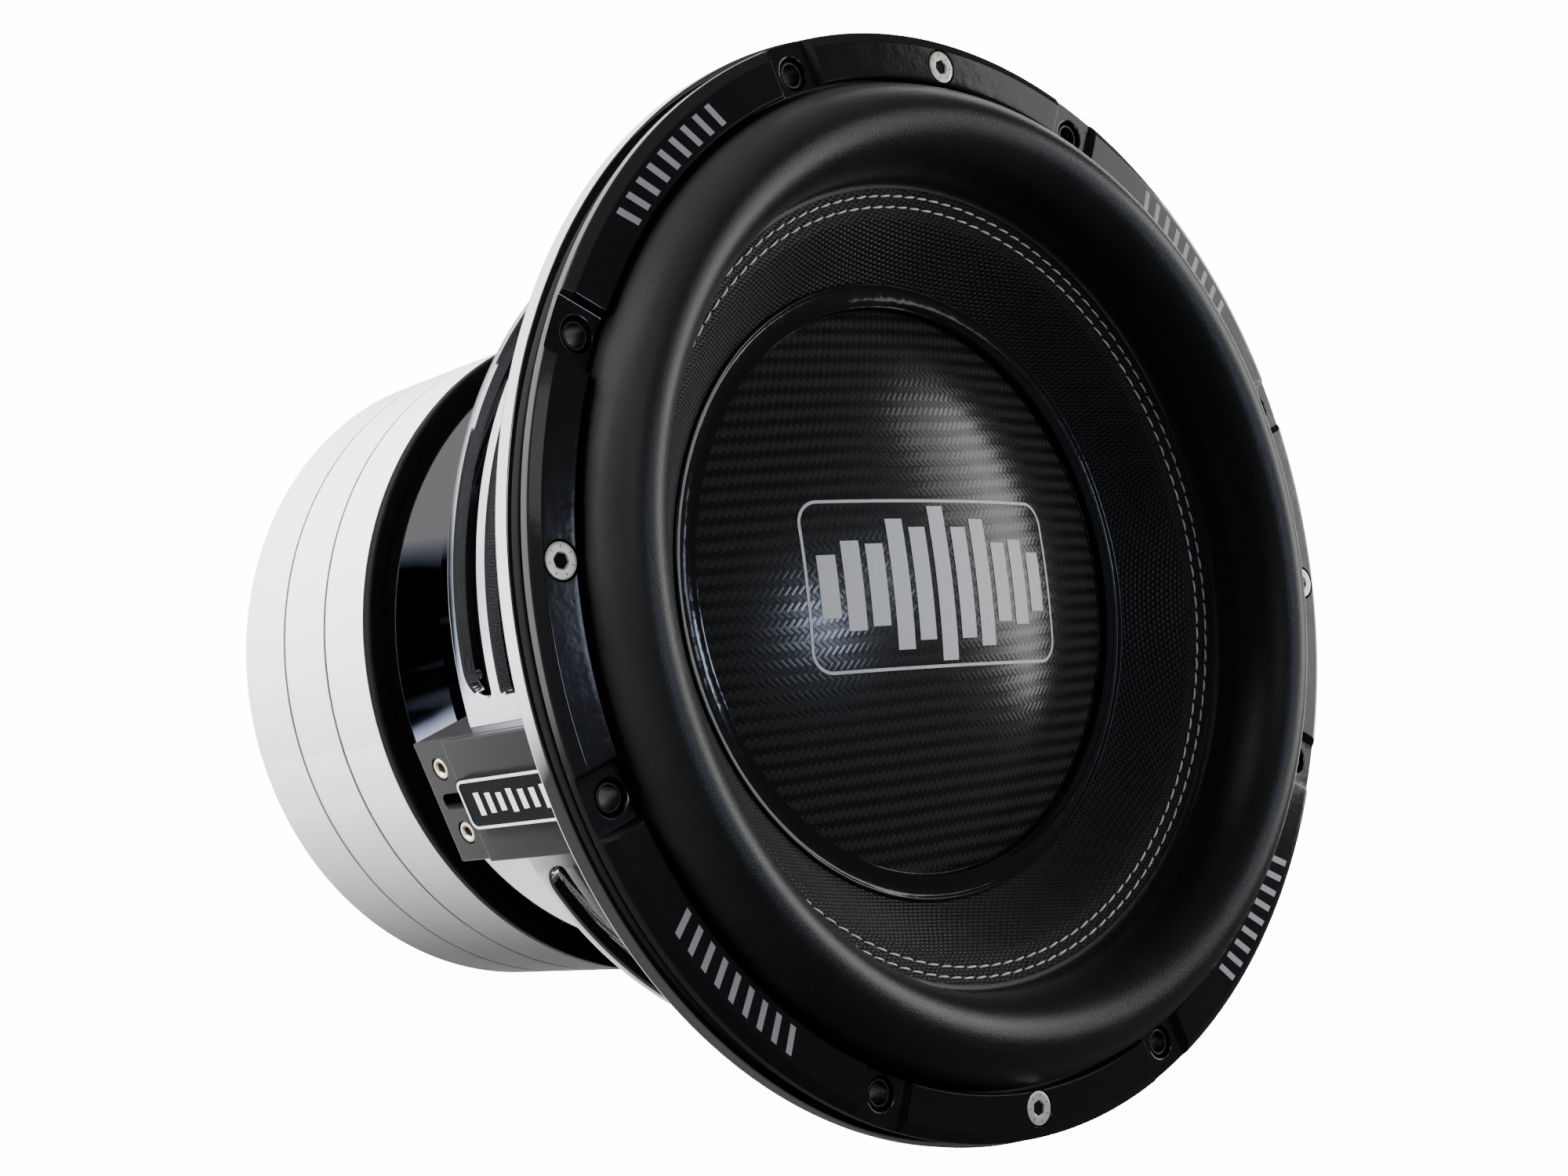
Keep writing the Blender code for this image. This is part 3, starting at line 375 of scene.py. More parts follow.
@dataclass(frozen=True)
class TurnedSteel(Finish):
    """Bare metal off a lathe, with fine rings and faint handling marks."""

    pitch: float = 0.35 * MM
    ring_depth: float = 0.006 * MM
    shine: float = 0.5

    def dress(self, surface: Surface) -> None:
        """Adds rings about the axis, blotches and rubs.

        Args:
            surface: The surface whose nodes are added.
        """
        radius, angle, height = surface.polar()
        rings = surface.vector(radius / self.pitch, height / self.pitch, angle * 0.6)
        fine = surface.noise(rings, 1.0, 2.0)
        cloud = surface.noise(surface.place, 26.0, 5.0, 0.6)
        rub = surface.ramp(
            surface.noise(surface.mapped((55.0, 55.0, 160.0)), 1.0, 6.0, 0.7), ((0.56, 0.0), (0.72, 1.0))
        )
        tone = (cloud - 0.5) * 0.35 + (fine - 0.5) * 0.25 + 0.5
        dark = tuple(0.86 * level for level in self.colour)
        light = tuple(min(1.0, 1.08 * level) for level in self.colour)
        surface.set(base_color=surface.mix(tone, dark, light))
        surface.set(roughness=(cloud - 0.5) * 0.12 + (fine - 0.5) * 0.10 - rub * 0.05 + self.roughness)
        surface.set(normal=surface.relief(fine, self.ring_depth), specular_ior_level=self.shine)


@dataclass(frozen=True)
class MirrorPlate(Finish):
    """Bright plating over a polished casting."""

    def dress(self, surface: Surface) -> None:
        """Adds a slow ripple and a few dull specks.

        Args:
            surface: The surface whose nodes are added.
        """
        speck = surface.ramp(surface.noise(surface.place, 420.0, 4.0, 0.7), ((0.68, 0.0), (0.75, 1.0)))
        surface.set(roughness=speck * 0.12 + self.roughness)
        surface.set(normal=surface.relief(surface.noise(surface.place, 45.0, 1.0), 0.05 * MM, 0.5))


@dataclass(frozen=True)
class MouldedRubber(Finish):
    """Matte rubber with a fine moulded grain."""

    grain: float = 0.55 * MM
    sheen: float = 0.0
    shine: float = 0.38

    def dress(self, surface: Surface) -> None:
        """Adds the grain and a dusty mottle.

        Args:
            surface: The surface whose nodes are added.
        """
        grain = surface.noise(surface.place, 1.0 / self.grain, 3.0, 0.65)
        dust = surface.noise(surface.place, 60.0, 5.0, 0.65)
        pale = tuple(level * 1.7 + 0.004 for level in self.colour)
        surface.set(base_color=surface.mix(dust * 0.6, self.colour, pale))
        surface.set(roughness=(dust - 0.5) * 0.12 + (grain - 0.5) * 0.08 + self.roughness)
        surface.set(normal=surface.relief(grain, 0.09 * MM))
        surface.set(sheen_weight=self.sheen, sheen_roughness=0.45, specular_ior_level=self.shine)


@dataclass(frozen=True)
class Lacquer(Finish):
    """Thick gloss black, whose reflections wander a little."""

    ripple: float = 0.16 * MM
    ripple_scale: float = 110.0

    def dress(self, surface: Surface) -> None:
        """Adds the wavy coat.

        Args:
            surface: The surface whose nodes are added.
        """
        wave = surface.noise(surface.place, self.ripple_scale, 2.0, 0.5)
        fine = surface.noise(surface.place, 700.0, 2.0, 0.5)
        normal = surface.relief(fine, 0.012 * MM, under=surface.relief(wave, self.ripple))
        surface.set(normal=normal, roughness=fine * 0.04 + self.roughness)


@dataclass(frozen=True)
class PlainWeave(Finish):
    """Coated woven fibre: threads over and under, square to each other."""

    thread: float = 0.62 * MM

    def dress(self, surface: Surface) -> None:
        """Adds the weave as relief and as tone; the tone is painted highlight on the thread crowns and
        painted shade in the gaps between them, mixed with a random worn tone.

        Args:
            surface: The surface whose nodes are added.
        """
        x, y, _ = surface.parts(surface.mapped((1.0, 1.0, 1.0), 4.0))
        across, along = x / self.thread, y / self.thread
        odd = (across.floor() + along.floor()) % 2.0
        weft = (along * math.pi).sine().absolute()
        warp = (across * math.pi).sine().absolute()
        height = odd * weft + (1.0 - odd) * warp
        wear = surface.noise(surface.place, 90.0, 4.0, 0.6)
        # Painted highlight and shade: thread crowns lighter, gaps between threads darker, mixed with random
        # wear.
        tone = height * 0.55 + wear * 0.45
        dark = tuple(0.35 * level for level in self.colour)
        light = tuple(1.75 * level for level in self.colour)
        surface.set(base_color=surface.mix(tone, dark, light))
        surface.set(roughness=self.roughness + (wear - 0.5) * 0.18 - height * 0.06)
        surface.set(normal=surface.relief(height, 0.45 * MM, 0.9))
        surface.set(specular_ior_level=0.4)


@dataclass(frozen=True)
class CarbonTwill(Finish):
    """Two-by-two twill of flat fibre tows under a thick clear coat."""

    tow: float = 1.6 * MM
    turn_deg: float = -49.0

    def dress(self, surface: Surface) -> None:
        """Adds tows whose fibres catch the light by turns, with that light painted into the colour as painted
        sheen.

        Args:
            surface: The surface whose nodes are added.
        """
        x, y, _ = surface.parts(surface.mapped((1.0, 1.0, 1.0), self.turn_deg))
        drift = (surface.noise(surface.place, 30.0, 2.0) - 0.5) * 0.45
        across, along = x / self.tow + drift, y / self.tow + drift
        step = (across.floor() + along.floor()) % 4.0
        over = step < 1.5
        fibre_x = surface.noise(surface.vector(across * 0.35, along * 9.0, 0.0), 1.0, 2.0)
        fibre_y = surface.noise(surface.vector(across * 9.0, along * 0.35, 3.0), 1.0, 2.0)
        painted_fibre_sheen = over * fibre_x + (1.0 - over) * fibre_y
        crown_x = (along * math.pi).sine().absolute()
        crown_y = (across * math.pi).sine().absolute()
        crown = over * crown_x + (1.0 - over) * crown_y
        # Painted sheen: over tows lighter than under tows, with lighter fibre streaks and crowns, for the
        # light the fibres reflect.
        tone = over * 0.50 + painted_fibre_sheen * 0.28 + crown * 0.22 - 0.12
        dark = tuple(0.22 * level for level in self.colour)
        light = tuple(2.3 * level for level in self.colour)
        surface.set(base_color=surface.mix(tone, dark, light))
        surface.set(roughness=self.roughness + (1.0 - over) * 0.07)
        skin = surface.relief(surface.noise(surface.place, 26.0, 2.0), 0.35 * MM, 0.6)
        surface.set(normal=surface.relief(crown, 0.020 * MM, under=skin))


@dataclass(frozen=True)
class BrushedPaint(Finish):
    """Satin metallic finish drawn along one way."""

    along: tuple[float, float, float] = (900.0, 900.0, 40.0)
    edge: float = 0.0

    def dress(self, surface: Surface) -> None:
        """Adds the drawn lines and a cloudy tone.

        Args:
            surface: The surface whose nodes are added.
        """
        lines = surface.noise(surface.mapped(self.along), 1.0, 3.0, 0.6)
        cloud = surface.noise(surface.place, 80.0, 3.0)
        dark = tuple(0.8 * level for level in self.colour)
        light = tuple(min(1.0, 1.15 * level) for level in self.colour)
        surface.set(base_color=surface.mix(lines * 0.6 + cloud * 0.4, dark, light))
        surface.set(roughness=self.roughness + (lines - 0.5) * 0.12)
        surface.set(normal=surface.relief(lines, 0.008 * MM))


@dataclass(frozen=True)
class Thread(Finish):
    """Spun yarn with a twist along each stitch."""

    def dress(self, surface: Surface) -> None:
        """Adds fibres and worn tone.

        Args:
            surface: The surface whose nodes are added.
        """
        fibres = surface.noise(surface.place, 2600.0, 3.0, 0.7)
        tone = surface.noise(surface.place, 120.0)
        dull = tuple(0.7 * level for level in self.colour)
        surface.set(base_color=surface.mix(tone, dull, self.colour))
        surface.set(normal=surface.relief(fibres, 0.08 * MM), sheen_weight=0.3)


STEEL = TurnedSteel("steel", "brushed_steel", (0.88, 0.895, 0.915), 0.5, 0.0, shine=0.15)
PLATED = TurnedSteel("plated", "plated_steel", (0.52, 0.53, 0.55), 0.36, 1.0)
CHROME = MirrorPlate("chrome", "chrome", (0.80, 0.81, 0.83), 0.045, 1.0)
RUBBER = MouldedRubber(
    "surround_rubber", "black_rubber", (0.0095, 0.0095, 0.0095), 0.30, 0.0, sheen=0.02, shine=0.42
)
SEAL = MouldedRubber("seal_rubber", "black_rubber", (0.004, 0.004, 0.004), 0.5, shine=0.08)
EYELET = MouldedRubber("eyelet_rubber", "black_rubber", (0.003, 0.003, 0.003), 0.12, 0.0, 0.3 * MM, shine=0.5)
FOAM = MouldedRubber("foam", "black_foam", (0.012, 0.012, 0.012), 0.9, 0.0, 0.9 * MM)
LACQUER = Lacquer("lacquer", "gloss_black", (0.009, 0.009, 0.010), 0.09, 0.0, 0.07 * MM)
RESIN = Lacquer("resin", "clear_resin", (0.008, 0.008, 0.009), 0.08, 0.0, 0.14 * MM, 150.0)
WEAVE = PlainWeave("cone_weave", "woven_cone", (0.017, 0.017, 0.019), 0.46, 0.0, 1.0 * MM)
CARBON = CarbonTwill("carbon", "carbon_gloss", (0.018, 0.018, 0.018), 0.15)
SILVER_PRINT = BrushedPaint(
    "silver_print", "carbon_gloss", (0.74, 0.74, 0.77), 0.42, 0.0, (300.0, 300.0, 300.0)
)
RING_PRINT = BrushedPaint("ring_print", "gloss_black", (0.40, 0.40, 0.42), 0.42, 0.0, (300.0, 300.0, 300.0))
GUNMETAL = BrushedPaint("gunmetal", "gunmetal", (0.028, 0.028, 0.029), 0.24, 0.2, (260.0, 260.0, 90.0))
PLATE_BLACK = MouldedRubber("plate_black", "gunmetal", (0.004, 0.004, 0.005), 0.5, shine=0.10)
LABEL_PRINT = BrushedPaint("label_print", "gunmetal", (0.93, 0.93, 0.92), 0.42, 0.0, (300.0, 300.0, 300.0))
SCREW_STEEL = TurnedSteel("screw_steel", "screw_steel", (0.90, 0.86, 0.77), 0.33, 0.5)
BLACK_OXIDE = Finish("black_oxide", "black_oxide", (0.025, 0.025, 0.027), 0.38, 0.7)
GOLD = Finish("gold", "brass", (0.95, 0.86, 0.64), 0.28, 0.3)
COPPER = Finish("copper", "copper", (0.75, 0.38, 0.22), 0.3, 1.0)
COIL_WIRE = TurnedSteel("coil_wire", "coil_wire", (0.60, 0.26, 0.10), 0.34, 0.9, 0.5 * MM, 0.05 * MM)
ALUMINIUM = TurnedSteel("aluminium", "aluminium", (0.76, 0.76, 0.77), 0.33, 1.0)
FERRITE = Finish("ferrite", "ferrite", (0.045, 0.045, 0.05), 0.68)
CLOTH = PlainWeave("spider_cloth", "spider_cloth", (0.022, 0.020, 0.018), 0.8, 0.0, 0.9 * MM)
PLASTIC = Finish("plastic", "black_plastic", (0.02, 0.02, 0.022), 0.5)
TINSEL = Thread("tinsel", "tinsel", (0.42, 0.38, 0.32), 0.5, 0.6)
STITCH = Thread("stitch", "black_rubber", (0.93, 0.93, 0.93), 0.75)


# ------------------------------------------------------------------ shapes


def rounded(corners: Sequence[Corner], steps: int = 4) -> list[Point]:
    """Rounds the corners of a closed turned profile.

    Args:
        corners: Radius, height and fillet radius of each corner.
        steps: Segments in each fillet.

    Returns:
        Radius and height of each point of the rounded profile.
    """
    points: list[Point] = []
    count = len(corners)
    for i, (r, z, fillet) in enumerate(corners):
        here = Vector((r, z))
        if fillet <= 0.0:
            points.append((r, z))
            continue
        before = (Vector(corners[i - 1][:2]) - here).normalized()
        after = (Vector(corners[(i + 1) % count][:2]) - here).normalized()
        half = before.angle(after) / 2
        reach = fillet / math.tan(half)
        centre = here + (before + after).normalized() * (fillet / math.sin(half))
        first, last = here + before * reach - centre, here + after * reach - centre
        sweep = first.angle_signed(last)
        for step in range(steps + 1):
            turn = -sweep * step / steps
            c, s = math.cos(turn), math.sin(turn)
            points.append((centre.x + first.x * c - first.y * s, centre.y + first.x * s + first.y * c))
    return points


def arc(centre: Point, radii: Point, start_deg: float, end_deg: float, count: int) -> list[Point]:
    """Points along an elliptical arc.

    Args:
        centre: The ellipse's centre.
        radii: Its half axes.
        start_deg: First angle.
        end_deg: Last angle.
        count: Segments.

    Returns:
        The points in order.
    """
    points = []
    for i in range(count + 1):
        angle = math.radians(start_deg + (end_deg - start_deg) * i / count)
        points.append((centre[0] + radii[0] * math.cos(angle), centre[1] + radii[1] * math.sin(angle)))
    return points


def link(name: str, mesh: bpy.types.Mesh) -> bpy.types.Object:
    """Puts a mesh in the scene as an object.

    Args:
        name: The object's name.
        mesh: Its mesh.

    Returns:
        The object.
    """
    obj = bpy.data.objects.new(name, mesh)
    bpy.context.scene.collection.objects.link(obj)
    return obj


def from_work(name: str, work: bmesh.types.BMesh) -> bpy.types.Object:
    """Turns a working mesh into an object whose faces point outwards.

    Args:
        name: The object's name.
        work: The working mesh, which is freed.

    Returns:
        The object.
    """
    bmesh.ops.recalc_face_normals(work, faces=work.faces)
    mesh = bpy.data.meshes.new(name)
    work.to_mesh(mesh)
    work.free()
    return link(name, mesh)


def lathe(
    name: str,
    profile: Sequence[Point],
    segments: int = SEGMENTS,
    wobble: Callable[[float, int], Point] | None = None,
) -> bpy.types.Object:
    """Turns a closed profile about the axis.

    Args:
        name: The object's name.
        profile: Radius and height of each point; a radius of 0 is a pole.
        segments: Facets round the axis.
        wobble: Gives a small change of radius and height from the angle and the point's index.

    Returns:
        The turned object.
    """
    work = bmesh.new()
    rows = []
    for index, (radius, height) in enumerate(profile):
        if radius <= 1e-9:
            rows.append([work.verts.new((0.0, 0.0, height))] * segments)
            continue
        row = []
        for i in range(segments):
            angle = math.tau * i / segments
            dr, dz = wobble(angle, index) if wobble else (0.0, 0.0)
            r = radius + dr
            row.append(work.verts.new((r * math.cos(angle), r * math.sin(angle), height + dz)))
        rows.append(row)
    for first, second in zip(rows, rows[1:] + rows[:1]):
        for i in range(segments):
            j = (i + 1) % segments
            corners = list(dict.fromkeys((first[i], first[j], second[j], second[i])))
            if len(corners) > 2:
                work.faces.new(corners)
    return from_work(name, work)


def skin(name: str, loops: Sequence[Sequence[Vector]]) -> bpy.types.Object:
    """A closed solid through a row of loops with the same number of points.

    Args:
        name: The object's name.
        loops: The loops in order; the first and last are filled.

    Returns:
        The solid.
    """
    work = bmesh.new()
    rows = [[work.verts.new(point) for point in loop] for loop in loops]
    count = len(rows[0])
    for first, second in zip(rows, rows[1:]):
        for i in range(count):
            j = (i + 1) % count
            work.faces.new((first[i], first[j], second[j], second[i]))
    work.faces.new(rows[0])
    work.faces.new(rows[-1])
    return from_work(name, work)


def circle(radius: float, height: float, count: int = 48) -> list[Vector]:
    """A level circle of points about the axis.

    Args:
        radius: Distance from the axis.
        height: Height along the axis.
        count: Number of points.

    Returns:
        The points in order.
    """
    return [
        Vector((radius * math.cos(math.tau * i / count), radius * math.sin(math.tau * i / count), height))
        for i in range(count)
    ]


def hexagon(flat: float, height: float, count: int = 48) -> list[Vector]:
    """A level hexagon of points about the axis, whose flats lie at a given radius.

    Args:
        flat: Radius of the flats.
        height: Height along the axis.
        count: Number of points.

    Returns:
        The points in order.
    """
    points = []
    sector = math.pi / 3
    for i in range(count):
        angle = math.tau * i / count
        radius = flat / math.cos((angle + sector / 2) % sector - sector / 2)
        points.append(Vector((radius * math.cos(angle), radius * math.sin(angle), height)))
    return points


def box(
    name: str, low: Sequence[float], high: Sequence[float], bevel: float = 0.0, segments: int = 3
) -> bpy.types.Object:
    """A box between two corners, with bevelled edges.

    Args:
        name: The object's name.
        low: Its lowest corner.
        high: Its highest corner.
        bevel: Width of the bevel.
        segments: Segments of the bevel.

    Returns:
        The box.
    """
    low_corner, high_corner = Vector(low), Vector(high)
    work = bmesh.new()
    size = Matrix.Diagonal((*(high_corner - low_corner), 1.0))
    bmesh.ops.create_cube(work, size=1.0, matrix=Matrix.Translation((low_corner + high_corner) / 2) @ size)
    if bevel > 0.0:
        bmesh.ops.bevel(
            work,
            geom=work.edges[:],
            offset=bevel,
            segments=segments,
            affect="EDGES",
            profile=0.5,
            clamp_overlap=True,
        )
    return from_work(name, work)


def drum(
    name: str, radius: float, start: Sequence[float], end: Sequence[float], sides: int = 48
) -> bpy.types.Object:
    """A cylinder between two points.

    Args:
        name: The object's name.
        radius: Its radius.
        start: Centre of one end.
        end: Centre of the other end.
        sides: Facets round it.

    Returns:
        The cylinder.
    """
    first, last = Vector(start), Vector(end)
    along = last - first
    spin = along.to_track_quat("Z", "Y").to_matrix().to_4x4()
    work = bmesh.new()
    bmesh.ops.create_cone(
        work,
        cap_ends=True,
        segments=sides,
        radius1=radius,
        radius2=radius,
        depth=along.length,
        matrix=Matrix.Translation((first + last) / 2) @ spin,
    )
    return from_work(name, work)


def move(obj: bpy.types.Object, matrix: Matrix) -> bpy.types.Object:
    """Moves an object's mesh, so that the object itself stays at the origin."""
    obj.data.transform(matrix)
    return obj


def baked(obj: bpy.types.Object) -> bpy.types.Object:
    """Applies every modifier of an object to its mesh.

    Args:
        obj: The object.

    Returns:
        The same object, without modifiers.
    """
    bpy.context.view_layer.update()
    graph = bpy.context.evaluated_depsgraph_get()
    mesh = bpy.data.meshes.new_from_object(obj.evaluated_get(graph))
    obj.modifiers.clear()
    obj.data = mesh
    return obj


def carve(obj: bpy.types.Object, cutters: Sequence[bpy.types.Object]) -> bpy.types.Object:
    """Cuts shapes out of an object and removes them.

    Args:
        obj: The object to cut.
        cutters: Closed shapes that don't touch each other.

    Returns:
        The cut object.
    """
    tool = join("carver", cutters)
    cut = obj.modifiers.new("carve", "BOOLEAN")
    cut.operation = "DIFFERENCE"
    cut.solver = "EXACT"
    cut.object = tool
    baked(obj)
    bpy.data.objects.remove(tool)
    return obj


def join(name: str, parts: Sequence[bpy.types.Object]) -> bpy.types.Object:
    """Joins shapes into one object and removes them.

    Args:
        name: The new object's name.
        parts: The shapes.

    Returns:
        The joined object.
    """
    work = bmesh.new()
    for part in parts:
        work.from_mesh(part.data)
    mesh = bpy.data.meshes.new(name)
    work.to_mesh(mesh)
    work.free()
    for part in parts:
        bpy.data.objects.remove(part)
    return link(name, mesh)


def settle(
    obj: bpy.types.Object,
    finish: Finish,
    body: Body | None,
    nodes: Sequence[str] = (),
    sharp_deg: float = 38.0,
) -> bpy.types.Object:
    """Shades a finished piece, dresses it and ties it to the frame.

    Args:
        obj: The piece.
        finish: Its finish.
        body: The body that it rides on, or None to leave it unattached.
        nodes: The CAD nodes that it stands for.
        sharp_deg: Edges sharper than this stay sharp.

    Returns:
        The piece.
    """
    obj.data.materials.clear()
    obj.data.materials.append(finish.material())
    for polygon in obj.data.polygons:
        polygon.material_index = 0
    obj.data.shade_smooth()
    obj.data.set_sharp_from_angle(angle=math.radians(sharp_deg))
    weigh = obj.modifiers.new("weigh", "WEIGHTED_NORMAL")
    weigh.keep_sharp = True
    baked(obj)
    if nodes:
        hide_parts(*nodes)
    if body is not None:
        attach(obj, body.value)
    LOG.info("%s: %d faces, %s", obj.name, len(obj.data.polygons), finish.name)
    return obj


def bend_between(obj: bpy.types.Object) -> bpy.types.Object:
    """Unrolls a ring to its radii, applies its transform to its mesh, then puts its points back.

    Args:
        obj: The ring, in place.

    Returns:
        The ring.
    """
    count = len(obj.data.vertices)
    rest = np.empty(count * 3, np.float32)
    obj.data.vertices.foreach_get("co", rest)
    points = rest.reshape(-1, 3)
    unrolled = np.zeros_like(points)
    unrolled[:, 0] = np.hypot(points[:, 0], points[:, 1])
    unrolled[:, 2] = points[:, 2]
    obj.data.vertices.foreach_set("co", unrolled.ravel())
    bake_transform(obj)
    obj.data.vertices.foreach_set("co", rest)
    obj.data.update()
    return obj


# ------------------------------------------------------------------ repeats


class Recipe(Graph):
    """A Geometry Nodes tree with named inputs, which makes one plain mesh."""

    def __init__(self, name: str, inputs: Mapping[str, tuple[str, object]]) -> None:
        """Starts the tree.

        Args:
            name: The tree's name.
            inputs: Socket type and value of each named input.
        """
        super().__init__(bpy.data.node_groups.new(name, "GeometryNodeTree"))
        self.name = name
        self.values = {label: value for label, (_, value) in inputs.items()}
        for label, (kind, _) in inputs.items():
            self.tree.interface.new_socket(name=label, in_out="INPUT", socket_type=kind)
        self.tree.interface.new_socket(name="Geometry", in_out="OUTPUT", socket_type="NodeSocketGeometry")
        self.entry = self.tree.nodes.new("NodeGroupInput")

    def given(self, label: str) -> Wire:
        """The named input."""
        return Wire(self, self.entry.outputs[label])

    def make(self, shape: Wire, name: str, material: bpy.types.Material) -> bpy.types.Object:
        """Finishes the tree and turns what it makes into an object.

        Args:
            shape: The geometry that the tree has made.
            name: The object's name.
            material: The material that it is given.

        Returns:
            The object, a plain mesh with no modifier.
        """
        real = self.node("GeometryNodeRealizeInstances", None, {0: shape})
        dressed = self.node("GeometryNodeSetMaterial", None, {"Geometry": real, "Material": material})
        exit_node = self.tree.nodes.new("NodeGroupOutput")
        self.tree.links.new(dressed.socket, exit_node.inputs["Geometry"])
        host = link(name, bpy.data.meshes.new(name))
        modifier = host.modifiers.new(self.name, "NODES")
        modifier.node_group = self.tree
        for item in self.tree.interface.items_tree:
            if item.in_out == "INPUT":
                modifier[item.identifier] = self.values[item.name]
        return baked(host)


def ring_of(
    name: str,
    master: bpy.types.Object,
    count: int,
    radius: float,
    height: float,
    start_deg: float,
    material: bpy.types.Material,
    tilt_deg: float = 0.0,
    jitter_deg: float = 0.0,
    step_deg: float = 0.0,
) -> bpy.types.Object:
    """Copies of a shape evenly round the axis, each turned to face outwards.

    Args:
        name: The object's name.
        master: The shape at the origin, with X outwards; it is removed.
        count: Number of copies.
        radius: Distance from the axis.
        height: Height of the copies.
        start_deg: Angle of the first copy.
        material: Their material.
        tilt_deg: Turn of each copy about its own Z.
        jitter_deg: Most that a copy turns away from that.
        step_deg: Angle between two copies; 0 spreads them over the whole circle.

    Returns:
        One mesh with every copy.
    """
    inputs = {
        "Shape": ("NodeSocketObject", master),
        "Count": ("NodeSocketInt", count),
        "Radius": ("NodeSocketFloat", radius),
        "Height": ("NodeSocketFloat", height),
        "Start": ("NodeSocketFloat", math.radians(start_deg)),
        "Tilt": ("NodeSocketFloat", math.radians(tilt_deg)),
        "Jitter": ("NodeSocketFloat", math.radians(jitter_deg)),
        "Step": ("NodeSocketFloat", math.radians(step_deg or 360.0 / count)),
        "Seed": ("NodeSocketInt", 7),
    }
    recipe = Recipe(f"{name}_ring", inputs)
    index = recipe.node("GeometryNodeInputIndex")
    angle = index * recipe.given("Step") + recipe.given("Start")
    reach = recipe.given("Radius")
    spot = recipe.vector(angle.cosine() * reach, angle.sine() * reach, recipe.given("Height"))
    points = recipe.node("GeometryNodePoints", None, {"Count": recipe.given("Count"), "Position": spot})
    chance = recipe.node(
        "FunctionNodeRandomValue",
        {"data_type": "FLOAT"},
        {2: -1.0, 3: 1.0, "Seed": recipe.given("Seed")},
        1,
    )
    turn = angle + recipe.given("Tilt") + chance * recipe.given("Jitter")
    shape = recipe.node("GeometryNodeObjectInfo", None, {"Object": recipe.given("Shape")}, "Geometry")
    copies = recipe.node(
        "GeometryNodeInstanceOnPoints",
        None,
        {"Points": points, "Instance": shape, "Rotation": recipe.vector(0.0, 0.0, turn)},
    )
    made = recipe.make(copies, name, material)
    bpy.data.objects.remove(master)
    return made


def row_of_bars(
    name: str,
    count: int,
    pitch: float,
    width: float,
    heights: Callable[[Recipe, Wire], Wire],
    material: bpy.types.Material,
) -> bpy.types.Object:
    """A level row of upright bars along X, each as tall as a rule says.

    Args:
        name: The object's name.
        count: Number of bars.
        pitch: Distance between bars.
        width: Width of a bar.
        heights: Gives a bar's height from its distance to the middle, in bars.
        material: Their material.

    Returns:
        One mesh with every bar, 0.1 mm thick.
    """
    inputs = {
        "Count": ("NodeSocketInt", count),
        "Pitch": ("NodeSocketFloat", pitch),
        "Width": ("NodeSocketFloat", width),
    }
    recipe = Recipe(f"{name}_row", inputs)
    place = recipe.node("GeometryNodeInputIndex") - (count - 1) / 2
    spot = recipe.vector(place * recipe.given("Pitch"), 0.0, 0.0)
    points = recipe.node("GeometryNodePoints", None, {"Count": recipe.given("Count"), "Position": spot})
    cube = recipe.node(
        "GeometryNodeMeshCube",
        None,
        {"Size": (1.0, 1.0, 0.1 * MM), "Vertices X": 4, "Vertices Y": 14, "Vertices Z": 2},
    )
    size = recipe.vector(recipe.given("Width"), heights(recipe, place), 1.0)
    bars = recipe.node(
        "GeometryNodeInstanceOnPoints", None, {"Points": points, "Instance": cube, "Scale": size}
    )
    return recipe.make(bars, name, material)


def corrugated(
    name: str,
    inner: float,
    outer: float,
    level: float,
    thickness: float,
    rolls: int,
    amplitude: float,
    material: bpy.types.Material,
) -> bpy.types.Object:
    """A corrugated disc with a flat collar and a flat lip, swept round the axis.

    Args:
        name: The object's name.
        inner: Radius of its hole.
        outer: Radius of its edge.
        level: Height of its underside at the lip.
        thickness: Thickness of the cloth.
        rolls: Number of full waves.
        amplitude: Height of a wave above the middle.
        material: Its material.

    Returns:
        The disc as one closed mesh.
    """
    inputs = {
        "Inner Radius": ("NodeSocketFloat", inner),
        "Outer Radius": ("NodeSocketFloat", outer),
        "Level": ("NodeSocketFloat", level),
        "Thickness": ("NodeSocketFloat", thickness),
        "Rolls": ("NodeSocketFloat", float(rolls)),
        "Amplitude": ("NodeSocketFloat", amplitude),
    }
    recipe = Recipe(f"{name}_waves", inputs)
    points = 240
    sweep = 192
    share = recipe.node("GeometryNodeInputIndex") / points
    front = share < 0.5
    along = front * share * 2.0 + (1.0 - front) * (2.0 - share * 2.0)
    width = recipe.given("Outer Radius") - recipe.given("Inner Radius")
    radius = recipe.given("Inner Radius") + along * width
    flat = 0.085
    inside = recipe.math("DIVIDE", along - flat, 1.0 - 2.0 * flat, clamp=True)
    wave = (inside * recipe.given("Rolls") * math.tau).sine() * recipe.given("Amplitude") * -1.0
    height = recipe.given("Level") + wave + front * recipe.given("Thickness")
    outline = recipe.node(
        "GeometryNodeCurvePrimitiveCircle", {"mode": "RADIUS"}, {"Resolution": points, "Radius": 1.0}
    )
    path_radius = 0.05
    shaped = recipe.node(
        "GeometryNodeSetPosition",
        None,
        {"Geometry": outline, "Position": recipe.vector(radius - path_radius, height * -1.0, 0.0)},
    )
    path = recipe.node(
        "GeometryNodeCurvePrimitiveCircle", {"mode": "RADIUS"}, {"Resolution": sweep, "Radius": path_radius}
    )
    swept = recipe.node("GeometryNodeCurveToMesh", None, {"Curve": path, "Profile Curve": shaped})
    return recipe.make(swept, name, material)


# ------------------------------------------------------------------ sub-assemblies


